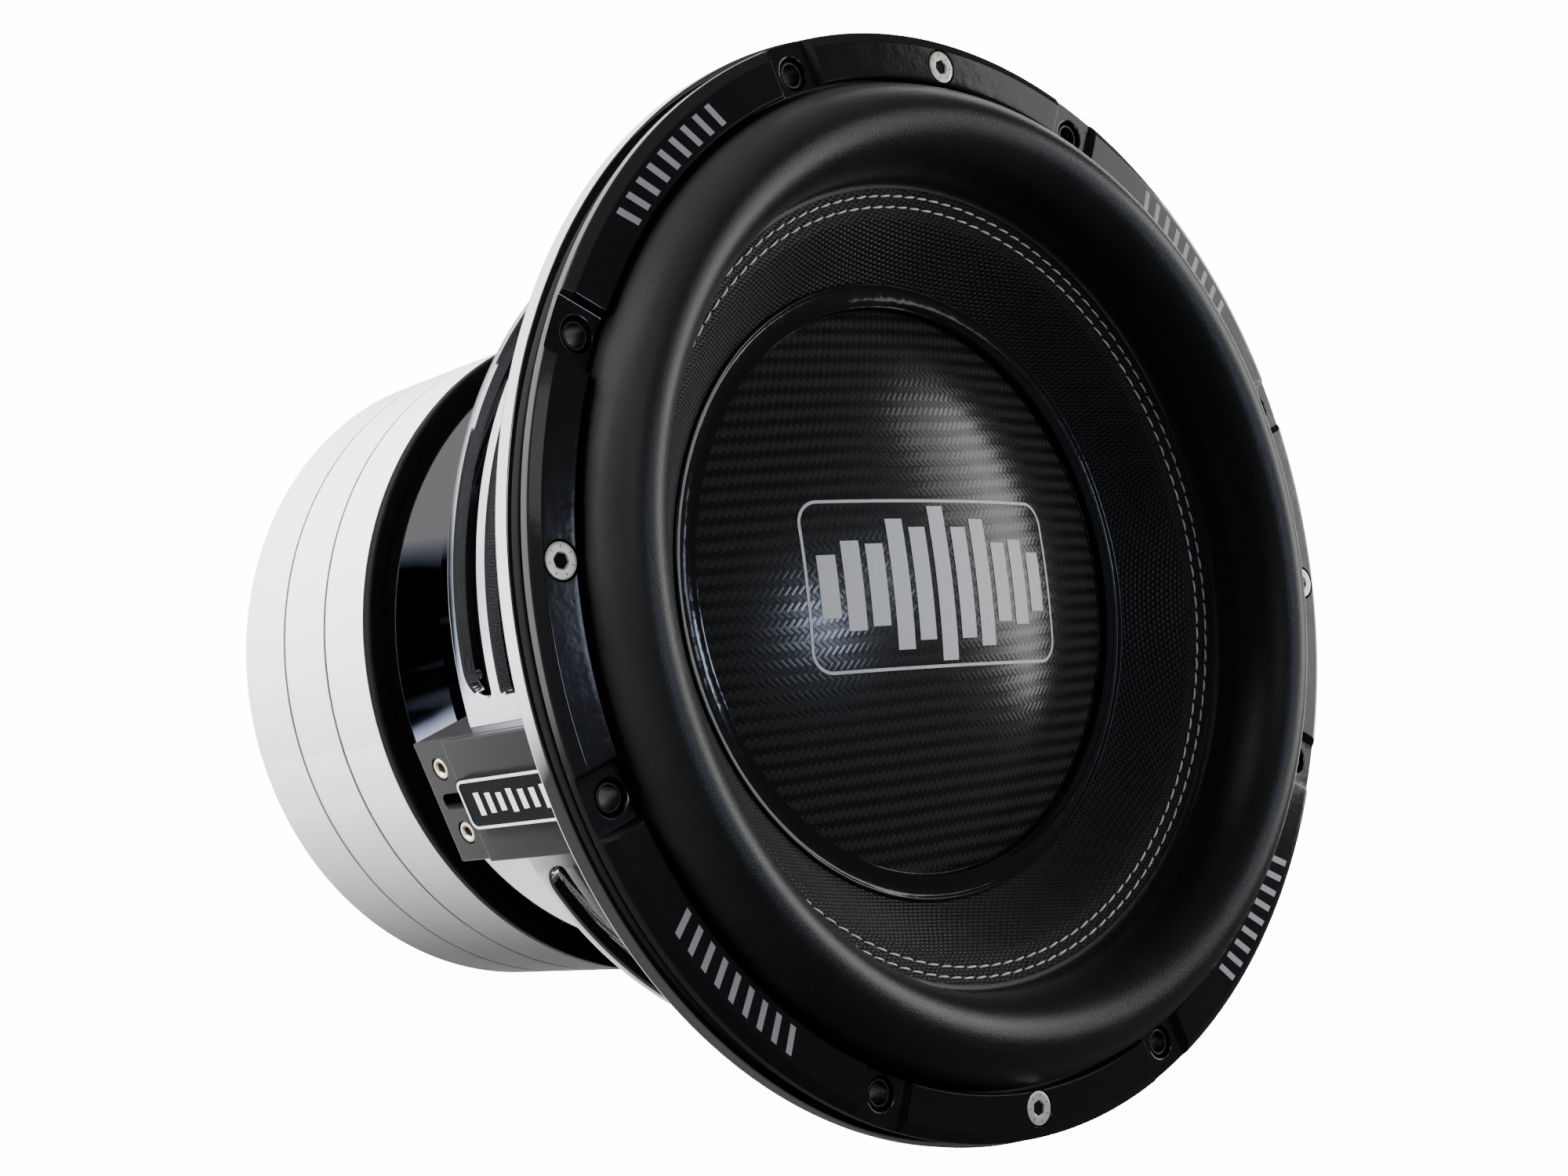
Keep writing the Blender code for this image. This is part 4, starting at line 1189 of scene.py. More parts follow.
@dataclass
class Motor:
    """The stacked steel motor under the basket."""

    radius: float = 107.5 * MM
    plate_top: float = 27.7 * MM
    chamfer: float = 2.5 * MM
    vent_radius: float = 14 * MM
    mouth_radius: float = 24 * MM
    pole_radius: float = 35.5 * MM
    groove_radius: float = 46 * MM
    edge: float = 0.2 * MM
    seam: float = 0.45 * MM
    wire_pitch: float = 2.6 * MM

    def build(self) -> None:
        """Builds every visible piece of the motor."""
        self.back_plate()
        self.covers()
        self.seam_shade_lines()
        self.seal()
        self.screen()
        self.inner_pieces()

    def back_plate(self) -> None:
        """The rear plate and its pole, with the flared vent."""
        _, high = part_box("back_plate")
        seat = 3.5 * MM
        throat = 17.5 * MM
        floor = self.plate_top - 6 * MM
        flare = arc((21 * MM, throat), (21 * MM - self.vent_radius, throat - seat), 270.0, 180.0, 10)
        edge = self.edge
        start = [
            (self.vent_radius, high.z, 1.0 * MM),
            (self.pole_radius, high.z, 1.0 * MM),
            (self.pole_radius, floor, 0.0),
            (self.groove_radius, floor, 0.0),
            (self.groove_radius, self.plate_top - self.seam, 0.5 * MM),
            (self.radius, self.plate_top - self.seam, edge),
            (self.radius, self.chamfer, 0.4 * MM),
            (self.radius - self.chamfer, 0.0, 0.4 * MM),
            (self.mouth_radius, 0.0, 0.6 * MM),
            (self.mouth_radius, seat, 0.0),
        ]
        corners = start + [(r, z, 0.0) for r, z in flare]
        settle(lathe("rear_plate", rounded(corners)), STEEL, Body.FRAME, ["back_plate"])

    def covers(self) -> None:
        """The two turned sleeves round the magnets."""
        for node in ("motor_cover_rear", "motor_cover_front"):
            low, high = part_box(node)
            inner, top, bottom = self.radius - 6.5 * MM, high.z - self.seam, low.z + self.seam
            corners = [
                (inner, top, 0.0),
                (self.radius, top, self.edge),
                (self.radius, bottom, self.edge),
                (inner, bottom, 0.0),
            ]
            piece = node.replace("motor_cover", "magnet_sleeve")
            settle(lathe(piece, rounded(corners)), STEEL, Body.FRAME, [node])

    def seam_shade_lines(self) -> None:
        """Dark rings set into the seams between the motor's plates: painted shade, standing in for the shade
        in the gaps.
        """
        out, half = self.radius - 0.30 * MM, 0.45 * MM
        for number, node in enumerate(("motor_cover_rear", "motor_cover_front"), 1):
            low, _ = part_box(node)
            loop = [
                (out, low.z + half),
                (out, low.z - half),
                (out - 1 * MM, low.z - half),
                (out - 1 * MM, low.z + half),
            ]
            # Painted shade: a black ring in each seam for the shade of the gap.
            settle(lathe(f"glue_line_{number}", loop), SEAL, Body.FRAME)

    def seal(self) -> None:
        """The black ring between the motor and the basket."""
        low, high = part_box("motor_seal_ring")
        corners = [
            (high.x - 16.7 * MM, high.z, 0.0),
            (high.x, high.z, 1.1 * MM),
            (high.x, low.z, 0.5 * MM),
            (high.x - 16.7 * MM, low.z, 0.0),
        ]
        settle(lathe("seal_ring", rounded(corners)), SEAL, Body.FRAME, ["motor_seal_ring"])

    def screen(self) -> None:
        """The wire gauze over the pole vent."""
        low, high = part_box("vent_screen")
        radius, level = high.x, (low.z + high.z) / 2
        wire_radius = 0.3 * MM
        inputs = {
            "Radius": ("NodeSocketFloat", radius - 0.6 * MM),
            "Pitch": ("NodeSocketFloat", self.wire_pitch),
            "Wire": ("NodeSocketFloat", wire_radius),
        }
        recipe = Recipe("gauze", inputs)
        count = int(2 * radius / self.wire_pitch)
        offset = (recipe.node("GeometryNodeInputIndex") - (count - 1) / 2) * recipe.given("Pitch")
        reach = recipe.math("SQRT", recipe.given("Radius") * recipe.given("Radius") - offset * offset)
        rod = recipe.node(
            "GeometryNodeMeshCylinder",
            None,
            {"Vertices": 8, "Radius": recipe.given("Wire"), "Depth": 2.0},
        )
        layers = []
        for turn, lift in ((0.0, 0.28 * MM), (math.pi / 2, -0.28 * MM)):
            spot = recipe.vector(offset, 0.0, lift) if turn == 0.0 else recipe.vector(0.0, offset, lift)
            points = recipe.node("GeometryNodePoints", None, {"Count": count, "Position": spot})
            settings = {
                "Points": points,
                "Instance": rod,
                "Rotation": (math.pi / 2, 0.0, turn),
                "Scale": recipe.vector(1.0, 1.0, reach),
            }
            layers.append(recipe.node("GeometryNodeInstanceOnPoints", None, settings))
        both = recipe.tree.nodes.new("GeometryNodeJoinGeometry")
        for layer in layers:
            recipe.tree.links.new(layer.socket, both.inputs[0])
        gauze = recipe.make(Wire(recipe, both.outputs[0]), "vent_gauze", BLACK_OXIDE.material())
        move(gauze, Matrix.Translation((0.0, 0.0, level)))
        settle(gauze, BLACK_OXIDE, Body.FRAME, ["vent_screen"])
        rim = [
            (radius - 1.2 * MM, level + 0.55 * MM, 0.0),
            (radius, level + 0.55 * MM, 0.2 * MM),
            (radius, level - 0.55 * MM, 0.2 * MM),
            (radius - 1.2 * MM, level - 0.55 * MM, 0.0),
        ]
        settle(lathe("vent_gauze_rim", rounded(rim), 96), BLACK_OXIDE, Body.FRAME)

    def inner_pieces(self) -> None:
        """Finishes of the pieces inside, whose CAD shape is kept."""
        finishes = {
            "magnet_rear": FERRITE,
            "magnet_front": FERRITE,
            "top_plate": PLATED,
            "pole_sleeve": COPPER,
            "shorting_ring": ALUMINIUM,
            "coil_winding_inner": COIL_WIRE,
            "coil_winding_outer": COIL_WIRE,
            "spider_spacer": PLASTIC,
        }
        for letter in "ab":
            for number in "12":
                finishes[f"contact_block_{letter}{number}"] = GOLD
        for i in range(1, 5):
            finishes[f"basket_bolt_{i}"] = BLACK_OXIDE
        for node, finish in finishes.items():
            obj = bpy.data.objects[node]
            obj.data.materials.clear()
            obj.data.materials.append(finish.material())
            for polygon in obj.data.polygons:
                polygon.material_index = 0
            LOG.info("%s keeps its shape, %s", node, finish.name)


@dataclass
class Basket:
    """The plated basket, with its four windows cut through the drum."""

    flange_radius: float = 158.5 * MM
    drum_radius: float = 131 * MM
    base_radius: float = 103 * MM
    wall: float = 4 * MM
    base_z: float = 80.5 * MM
    cove_z: float = 111.7 * MM
    sill_z: float = 159.6 * MM
    flange_z: float = 222.0 * MM
    flange_top: float = 227.5 * MM
    slots: tuple[tuple[float, float], ...] = ((162.5 * MM, 172.5 * MM), (177.5 * MM, 218.0 * MM))
    first_spoke_deg: float = 22.5
    spoke_half_deg: float = 11.1
    corner: float = 8 * MM
    small_corner: float = 1.2 * MM

    def cove(self, inset: float, count: int) -> list[Point]:
        """The trumpet flare between the base and the sill.

        Args:
            inset: Distance inside the outer wall.
            count: Segments.

        Returns:
            Radius and height from the base up.
        """
        points = []
        for i in range(count + 1):
            share = 1.0 - (1.0 - i / count) ** 1.3
            flare = 0.12 * share + 0.88 * share**3.5
            rise = (self.sill_z - self.cove_z) * share
            points.append((self.base_radius - inset + 28 * MM * flare, self.cove_z + rise))
        return points

    def profile(self) -> list[Point]:
        """The closed profile of the whole casting."""
        outer_cove = self.cove(0.0, 28)[1:-1][::-1]
        inner_cove = self.cove(self.wall, 18)[3:]
        shelf = 112.3 * MM
        corners: list[Corner] = [
            (self.drum_radius - self.wall, self.flange_top, 0.6 * MM),
            (self.flange_radius, self.flange_top, 0.4 * MM),
            (self.flange_radius, self.flange_z, 0.9 * MM),
            (self.drum_radius, self.flange_z, 1.5 * MM),
            (self.drum_radius, self.sill_z - 0.6 * MM, 0.8 * MM),
            (self.drum_radius - 1.6 * MM, self.sill_z - 1.3 * MM, 0.0),
        ]
        corners += [(r, z, 0.0) for r, z in outer_cove if r < self.drum_radius - 1.8 * MM]
        pad = 91.0 * MM
        bore = 53.0 * MM
        floor = 86.5 * MM
        inside = self.base_radius - self.wall
        corners += [
            (self.base_radius, self.cove_z, 0.5 * MM),
            (self.base_radius, self.base_z, 0.6 * MM),
            (pad, self.base_z, 0.0),
            (pad, 76.5 * MM, 0.3 * MM),
            (bore, 76.5 * MM, 0.5 * MM),
            (bore, floor, 0.8 * MM),
            (inside, floor, 2.0 * MM),
            (inside, shelf - 7 * MM, 0.6 * MM),
            (inside - 9 * MM, shelf - 4 * MM, 0.8 * MM),
            (inside - 9 * MM, shelf, 0.4 * MM),
            (inner_cove[0][0], shelf, 0.6 * MM),
        ]
        corners += [(r, z, 0.0) for r, z in inner_cove[1:]]
        return rounded(corners)

    def window(self, name: str, start_deg: float, end_deg: float, slot: int) -> bpy.types.Object:
        """A cutter for one slot, whose mouth is rounded over inside and out.

        Args:
            name: The cutter's name.
            start_deg: Angle of one side.
            end_deg: Angle of the other side.
            slot: 0 for the lower slot, 1 for the upper.

        Returns:
            The cutter.
        """
        low, high = self.slots[slot]
        outer, inner = self.drum_radius, self.drum_radius - self.wall
        radii_and_growth = [(outer + 8 * MM, 0.65 * MM), (outer + 0.05 * MM, 0.65 * MM)]
        fillet = 0.6 * MM
        for step in range(1, 6):
            angle = math.pi / 2 * step / 5
            radii_and_growth.append((outer - fillet * math.sin(angle), fillet * (1.0 - math.sin(angle))))
        radii_and_growth += [
            (inner + 0.7 * MM, 0.0),
            (inner + 0.2 * MM, 0.25 * MM),
            (inner - 0.05 * MM, 0.8 * MM),
        ]
        radii_and_growth.append((inner - 12 * MM, 0.8 * MM))
        low_corner = self.corner if slot == 0 else self.small_corner
        high_corner = self.small_corner if slot == 0 else 5 * MM
        start, end = math.radians(start_deg) * outer, math.radians(end_deg) * outer
        loops = []
        stations = [(math.pi / 2 * i / 8, 0) for i in range(9)]
        middle = 48
        stations += [(math.pi / 2, i) for i in range(1, middle)]
        stations += [(math.pi / 2 * (8 - i) / 8, middle) for i in range(9)]
        for lean, place in stations:
            share = place / middle
            front: list[Vector] = []
            back: list[Vector] = []
            for radius, growth in radii_and_growth:
                for corner, level, sign, row in (
                    (low_corner, low, -1.0, front),
                    (high_corner, high, 1.0, back),
                ):
                    left, right = start + corner, end - corner
                    centre = left + (right - left) * share
                    side = -1.0 if place == 0 else (1.0 if place == middle else 0.0)
                    along = centre + side * (corner + growth) * math.cos(lean)
                    height = level - sign * corner + sign * (corner + growth) * math.sin(lean)
                    angle = along / outer
                    row.append(Vector((radius * math.cos(angle), radius * math.sin(angle), height)))
            loops.append(front + back[::-1])
        work = bmesh.new()
        rows = [[work.verts.new(point) for point in loop] for loop in loops]
        count = len(rows[0])
        for first, second in zip(rows, rows[1:]):
            for i in range(count):
                j = (i + 1) % count
                work.faces.new((first[i], first[j], second[j], second[i]))
        for row in (rows[0], rows[-1]):
            for i in range(count // 2 - 1):
                work.faces.new((row[i], row[i + 1], row[count - 2 - i], row[count - 1 - i]))
        return from_work(name, work)

    def cutters(self) -> list[bpy.types.Object]:
        """Every window, screw hole and small relief hole."""
        shapes = []
        for i in range(4):
            start = self.first_spoke_deg + 90.0 * i + self.spoke_half_deg
            end = self.first_spoke_deg + 90.0 * (i + 1) - self.spoke_half_deg
            for slot in (0, 1):
                shapes.append(self.window(f"window_{i}_{slot}", start, end, slot))
        holes = [(22.5 + 45.0 * i, 3.2 * MM) for i in range(8)] + [(90.0 * i, 2.9 * MM) for i in range(4)]
        for angle_deg, radius in holes:
            spot = Vector(
                (
                    149 * MM * math.cos(math.radians(angle_deg)),
                    149 * MM * math.sin(math.radians(angle_deg)),
                    0.0,
                )
            )
            low, high = self.flange_z - 3 * MM, self.flange_top + 3 * MM
            shapes.append(
                drum("flange_hole", radius, spot + Vector((0, 0, low)), spot + Vector((0, 0, high)), 32)
            )
        for i in range(4):
            angle = math.radians(self.first_spoke_deg + 90.0 * i - 13.8)
            outward = Vector((math.cos(angle), math.sin(angle), 0.0))
            lift = Vector((0.0, 0.0, self.sill_z - 2.2 * MM))
            shapes.append(drum("relief", 1.4 * MM, outward * 112 * MM + lift, outward * 133 * MM + lift, 24))
            bolt = Vector((72 * MM * math.cos(math.pi / 2 * i), 72 * MM * math.sin(math.pi / 2 * i), 0.0))
            low, high = Vector((0, 0, 74 * MM)), Vector((0, 0, 89 * MM))
            shapes.append(drum("bolt_hole", 3.4 * MM, bolt + low, bolt + high, 32))
        return shapes

    def build(self) -> None:
        """Turns and cuts the casting."""
        casting = lathe("basket_casting", self.profile())
        carve(casting, self.cutters())
        settle(casting, CHROME, Body.FRAME, ["basket"], 30.0)


@dataclass
class Suspension:
    """The rubber surround and the two spiders."""

    roll_centre: float = 130.1 * MM
    half_width: float = 13.2 * MM
    rise: float = 19.2 * MM
    base_z: float = 228.5 * MM
    thickness: float = 1.4 * MM
    lip_radius: float = 145.0 * MM
    stitch_radii: tuple[float, float] = (112.7 * MM, 109.7 * MM)
    stitch_counts: tuple[int, int] = (142, 138)

    cloth: float = 0.35 * MM

    def land_height(self, radius: float) -> float:
        """Height of the land's front skin, under the cone's cloth."""
        return 224.5 * MM - 3.5 * MM * (116.9 * MM - radius) / (10.5 * MM)

    def cloth_height(self, radius: float) -> float:
        """Height of the cloth over the land, which dips under each row of stitches."""
        dip = sum(math.exp(-(((radius - row) / (0.55 * MM)) ** 2)) for row in self.stitch_radii)
        return self.land_height(radius) + self.cloth - 0.26 * MM * dip

    def build(self) -> None:
        """Builds the soft parts."""
        self.surround()
        self.stitches()
        self.spiders()

    def surround(self) -> None:
        """The half roll, its lip and its stitched land."""
        centre = (self.roll_centre, self.base_z)
        inner_edge = self.roll_centre - self.half_width
        front = [
            (self.lip_radius, 227.8 * MM),
            (self.lip_radius, 231.1 * MM),
            (143.4 * MM, 231.1 * MM),
        ]
        front += arc(centre, (self.half_width, self.rise), 10.0, 170.0, 44)
        cove = 2.2 * MM
        turn = arc((inner_edge - cove, 224.5 * MM + cove), (cove, cove), 0.0, -90.0, 6)
        front += [(r, z) for r, z in turn]
        start, land_inner = inner_edge - cove - 0.3 * MM, 106.6 * MM
        for i in range(9):
            radius = start + (land_inner - start) * i / 8
            front.append((radius, self.land_height(radius) - 0.05 * MM))
        edge = front[-1]
        front += [(edge[0] - 0.35 * MM, edge[1] - 0.35 * MM), (edge[0] - 0.4 * MM, edge[1] - 0.9 * MM)]
        back = [(edge[0], edge[1] - 1.25 * MM), (115.9 * MM, 223.1 * MM), (118.3 * MM, 224.2 * MM)]
        back += arc(centre, (self.half_width - self.thickness, self.rise - self.thickness), 172.0, 6.0, 32)
        back.append((self.roll_centre + self.half_width - self.thickness, 227.8 * MM))
        ring = lathe("roll_surround", front + back)
        settle(ring, RUBBER, None, ["surround"], 50.0)
        bend_between(ring)

    def stitches(self) -> None:
        """Two rows of lock stitches that hold the surround to the cone."""
        for number, (radius, count) in enumerate(zip(self.stitch_radii, self.stitch_counts), 1):
            length = math.tau * radius / count
            loops = []
            for share in (-0.5, -0.44, -0.3, 0.0, 0.3, 0.44, 0.5):
                sink = 0.42 * MM * (abs(share) * 2.0) ** 4
                girth = 0.265 * MM * (1.0 - 0.72 * (abs(share) * 2.0) ** 3)
                loop = []
                for i in range(8):
                    angle = math.tau * i / 8
                    loop.append(
                        Vector(
                            (
                                girth * 1.25 * math.cos(angle),
                                share * length * 0.86,
                                girth * math.sin(angle) - sink,
                            )
                        )
                    )
                loops.append(loop)
            stitch = skin("stitch", loops)
            move(stitch, Matrix.Rotation(math.radians(-18.0), 4, "Y"))
            height = self.cloth_height(radius) + 0.34 * MM
            row = ring_of(
                f"stitch_row_{number}",
                stitch,
                count,
                radius,
                height,
                1.3 * number,
                STITCH.material(),
                4.5,
                1.6,
            )
            settle(row, STITCH, Body.CONE, sharp_deg=60.0)

    def spiders(self) -> None:
        """The two corrugated cloth centring discs."""
        for node in ("spider_lower", "spider_upper"):
            low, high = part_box(node)
            level = low.z + (high.z - low.z - 0.9 * MM) / 2
            disc = corrugated(
                node.replace("spider", "centring_disc"),
                39.0 * MM,
                high.x,
                level,
                0.9 * MM,
                3,
                3.0 * MM,
                CLOTH.material(),
            )
            settle(disc, CLOTH, None, [node], 60.0)
            bend_between(disc)


@dataclass
class ConeSet:
    """The cone, the glue ring, the domed cap and the coil former."""

    cap_radius: float = 83.3 * MM
    cap_rise: float = 13.8 * MM
    bar_width: float = 6.3 * MM
    bar_pitch: float = 8.5 * MM
    bar_count: int = 11
    bar_tall: float = 45 * MM
    emblem_turn_deg: float = 2.0
    sphere_z: float = field(init=False)
    sphere_radius: float = field(init=False)
    slope: float = 0.78

    def __post_init__(self) -> None:
        """Places the dome's sphere from the cap's box."""
        _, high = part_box("dust_cap")
        self.sphere_radius = (self.cap_radius**2 + self.cap_rise**2) / (2 * self.cap_rise)
        self.sphere_z = high.z - self.sphere_radius

    def skin_height(self, radius: float) -> float:
        """Height of the cone's front skin inside the land.

        Args:
            radius: Distance from the axis.

        Returns:
            The height in metres.
        """
        _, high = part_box("cone")
        edge = high.z - 3.5 * MM / 10.5 * 10.0
        return edge - self.slope * (106.4 * MM - radius)

    def dome(self, radius: float) -> float:
        """Height of the cap's front skin."""
        return self.sphere_z + math.sqrt(self.sphere_radius**2 - radius**2)

    def build(self) -> None:
        """Builds the moving pieces."""
        self.cone()
        self.glue_ring()
        self.cap()
        self.emblem()
        self.former()

    def cone(self) -> None:
        """The woven cone, with its edge under the surround's land."""
        _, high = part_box("cone")
        thickness = 1.2 * MM
        neck, land = 38.4 * MM, 106.4 * MM
        soft = Suspension()
        tip = 115.3 * MM
        front = [(tip + 0.15 * MM, soft.land_height(tip) + 0.02 * MM)]
        steps = 54
        for i in range(steps + 1):
            radius = tip + (land - tip) * i / steps
            front.append((radius, soft.cloth_height(radius)))
        lift = front[-1][1] - self.skin_height(land)
        fade = 14.0 * MM
        steps = 44
        for i in range(1, steps + 1):
            radius = land + (neck - land) * i / steps
            share = max(0.0, 1.0 - (land - radius) / fade)
            front.append((radius, self.skin_height(radius) + lift * share * share * (3.0 - 2.0 * share)))
        back = [(neck, self.skin_height(neck) - thickness), (land, self.skin_height(land) - thickness)]
        back += [
            (high.x, high.z - thickness),
            (high.x, high.z),
            (land - 0.1 * MM, self.skin_height(land) + 0.05 * MM),
        ]
        back += [(land - 0.1 * MM, soft.land_height(land) + 0.02 * MM)]
        settle(lathe("woven_cone_body", front + back), WEAVE, Body.CONE, ["cone"], 45.0)

    def glue_ring(self) -> None:
        """The gloss bead that seals the cap to the cone, a little uneven."""
        low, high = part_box("cap_ring")
        inner = self.cap_radius + 0.3 * MM
        outer = high.x
        points = [
            (outer + 0.1 * MM, self.skin_height(outer) + 0.25 * MM),
            (outer + 0.12 * MM, self.skin_height(outer) + 0.65 * MM),
            (outer - 0.35 * MM, self.skin_height(outer) + 1.0 * MM),
            (outer - 0.9 * MM, self.skin_height(outer) + 0.85 * MM),
            (outer - 1.5 * MM, self.skin_height(outer) + 0.30 * MM),
        ]
        last = (inner + 0.5 * MM, high.z - 0.45 * MM)
        first = points[-1]
        for i in range(1, 12):
            share = i / 11
            sag = -0.28 * MM * math.sin(math.pi * share)
            points.append(
                (first[0] + (last[0] - first[0]) * share, first[1] + (last[1] - first[1]) * share + sag)
            )
        points += [(inner + 0.12 * MM, high.z - 0.4 * MM), (inner, high.z - 0.7 * MM)]
        points.append((inner, self.skin_height(inner) + 0.3 * MM))
        edge_count = 5

        def wander(angle: float, index: int) -> Point:
            """A slow wander of the bead's outer edge."""
            if index >= edge_count:
                return 0.0, 0.0
            wave = math.sin(3 * angle + 1.0) + 0.6 * math.sin(7 * angle + 2.2) + 0.5 * math.sin(17 * angle)
            ripple = 0.35 * math.sin(41 * angle + 0.7) + 0.25 * math.sin(67 * angle + 1.9)
            grow = 0.07 * MM * (wave + ripple)
            return grow, 0.4 * max(grow, -0.1 * MM) + (self.slope * grow if index == 0 else 0.0)

        settle(lathe("glue_ring", points, 384, wander), RESIN, Body.CONE, ["cap_ring"], 60.0)

    def cap(self) -> None:
        """The domed cap with its rolled rim."""
        rim_z = self.dome(self.cap_radius)
        half = math.degrees(math.asin(self.cap_radius / self.sphere_radius))
        outer = arc(
            (0.0, self.sphere_z), (self.sphere_radius, self.sphere_radius), 90.0, 90.0 - half * 0.988, 56
        )
        outer[0] = (0.0, outer[0][1])
        thick = 1.2 * MM
        inner_radius = self.sphere_radius - thick
        inner = arc((0.0, self.sphere_z), (inner_radius, inner_radius), 90.0 - half * 0.975, 90.0, 20)
        inner[-1] = (0.0, inner[-1][1])
        low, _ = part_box("dust_cap")
        rim = [
            (self.cap_radius - 0.55 * MM, rim_z + 0.02 * MM),
            (self.cap_radius - 0.1 * MM, rim_z - 0.2 * MM),
            (self.cap_radius, rim_z - 0.6 * MM),
            (self.cap_radius, low.z),
            (self.cap_radius - thick, low.z),
        ]
        settle(lathe("domed_cap", outer + rim + inner), CARBON, Body.CONE, ["dust_cap"], 40.0)
        edge = arc(
            (self.cap_radius - 0.15 * MM, rim_z + 0.15 * MM), (0.42 * MM, 0.34 * MM), 0.0, 360.0, 12
        )[:-1]
        settle(lathe("cap_bead", edge), RESIN, Body.CONE, (), 60.0)

    def emblem(self) -> None:
        """A printed sound wave: bars that swell twice, inside a thin outline."""

        def heights(recipe: Recipe, place: Wire) -> Wire:
            """Bar height from its place in the row."""
            swell = (place * math.pi / 5.0).cosine() * 0.24 + 0.76
            short = 1.0 - (place % 2.0) * 0.24
            return swell * short * self.bar_tall

        bars = row_of_bars(
            "emblem_bars", self.bar_count, self.bar_pitch, self.bar_width, heights, SILVER_PRINT.material()
        )
        self.lay_on_dome(bars, 0.10 * MM)
        settle(bars, SILVER_PRINT, Body.CONE)
        half_x, half_y, radius, width = 50 * MM, 24.5 * MM, 7 * MM, 0.9 * MM
        outer, inner = [], []
        for corner_x, corner_y, start in ((1, 1, 0), (-1, 1, 90), (-1, -1, 180), (1, -1, 270)):
            for i in range(13):
                angle = math.radians(start + 90 * i / 12)
                cx, cy = corner_x * (half_x - radius), corner_y * (half_y - radius)
                outer.append((cx + radius * math.cos(angle), cy + radius * math.sin(angle)))
                inner.append(
                    (cx + (radius - width) * math.cos(angle), cy + (radius - width) * math.sin(angle))
                )
        work = bmesh.new()
        rows = []
        for outline, lift in ((outer, 0.05), (inner, 0.05), (inner, -0.05), (outer, -0.05)):
            dense = []
            for (x0, y0), (x1, y1) in zip(outline, outline[1:] + outline[:1]):
                pieces = 16 if math.hypot(x1 - x0, y1 - y0) > 10 * MM else 1
                dense += [(x0 + (x1 - x0) * k / pieces, y0 + (y1 - y0) * k / pieces) for k in range(pieces)]
            rows.append([work.verts.new((x, y, lift * MM)) for x, y in dense])
        for first, second in zip(rows, rows[1:] + rows[:1]):
            for i in range(len(first)):
                j = (i + 1) % len(first)
                work.faces.new((first[i], first[j], second[j], second[i]))
        frame = from_work("emblem_frame", work)
        self.lay_on_dome(frame, 0.10 * MM)
        settle(frame, SILVER_PRINT, Body.CONE)

    def lay_on_dome(self, obj: bpy.types.Object, lift: float) -> None:
        """Wraps a flat shape on the cap.

        Args:
            obj: The shape, near Z = 0.
            lift: Height of its middle above the cap.
        """
        move(obj, Matrix.Rotation(math.radians(self.emblem_turn_deg), 4, "Z"))
        for vertex in obj.data.vertices:
            vertex.co.z += self.dome(math.hypot(vertex.co.x, vertex.co.y)) + lift
        obj.data.update()

    def former(self) -> None:
        """The coil former with its reinforcing collar."""
        low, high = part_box("coil_former")
        inner, outer = 37.6 * MM, 38.1 * MM
        corners = [
            (inner, high.z, 0.0),
            (outer, high.z, 0.1 * MM),
            (outer, low.z, 0.1 * MM),
            (inner, low.z, 0.0),
        ]
        settle(lathe("former_tube", rounded(corners, 2), 192), ALUMINIUM, Body.CONE, ["coil_former"])
        band = [
            (outer + 0.05 * MM, 163.0 * MM, 0.0),
            (outer + 0.75 * MM, 161.5 * MM, 0.2 * MM),
            (outer + 0.75 * MM, 136.0 * MM, 0.3 * MM),
            (outer + 0.05 * MM, 135.0 * MM, 0.0),
        ]
        settle(lathe("former_wrap", rounded(band, 2), 192), PLASTIC, Body.CONE)


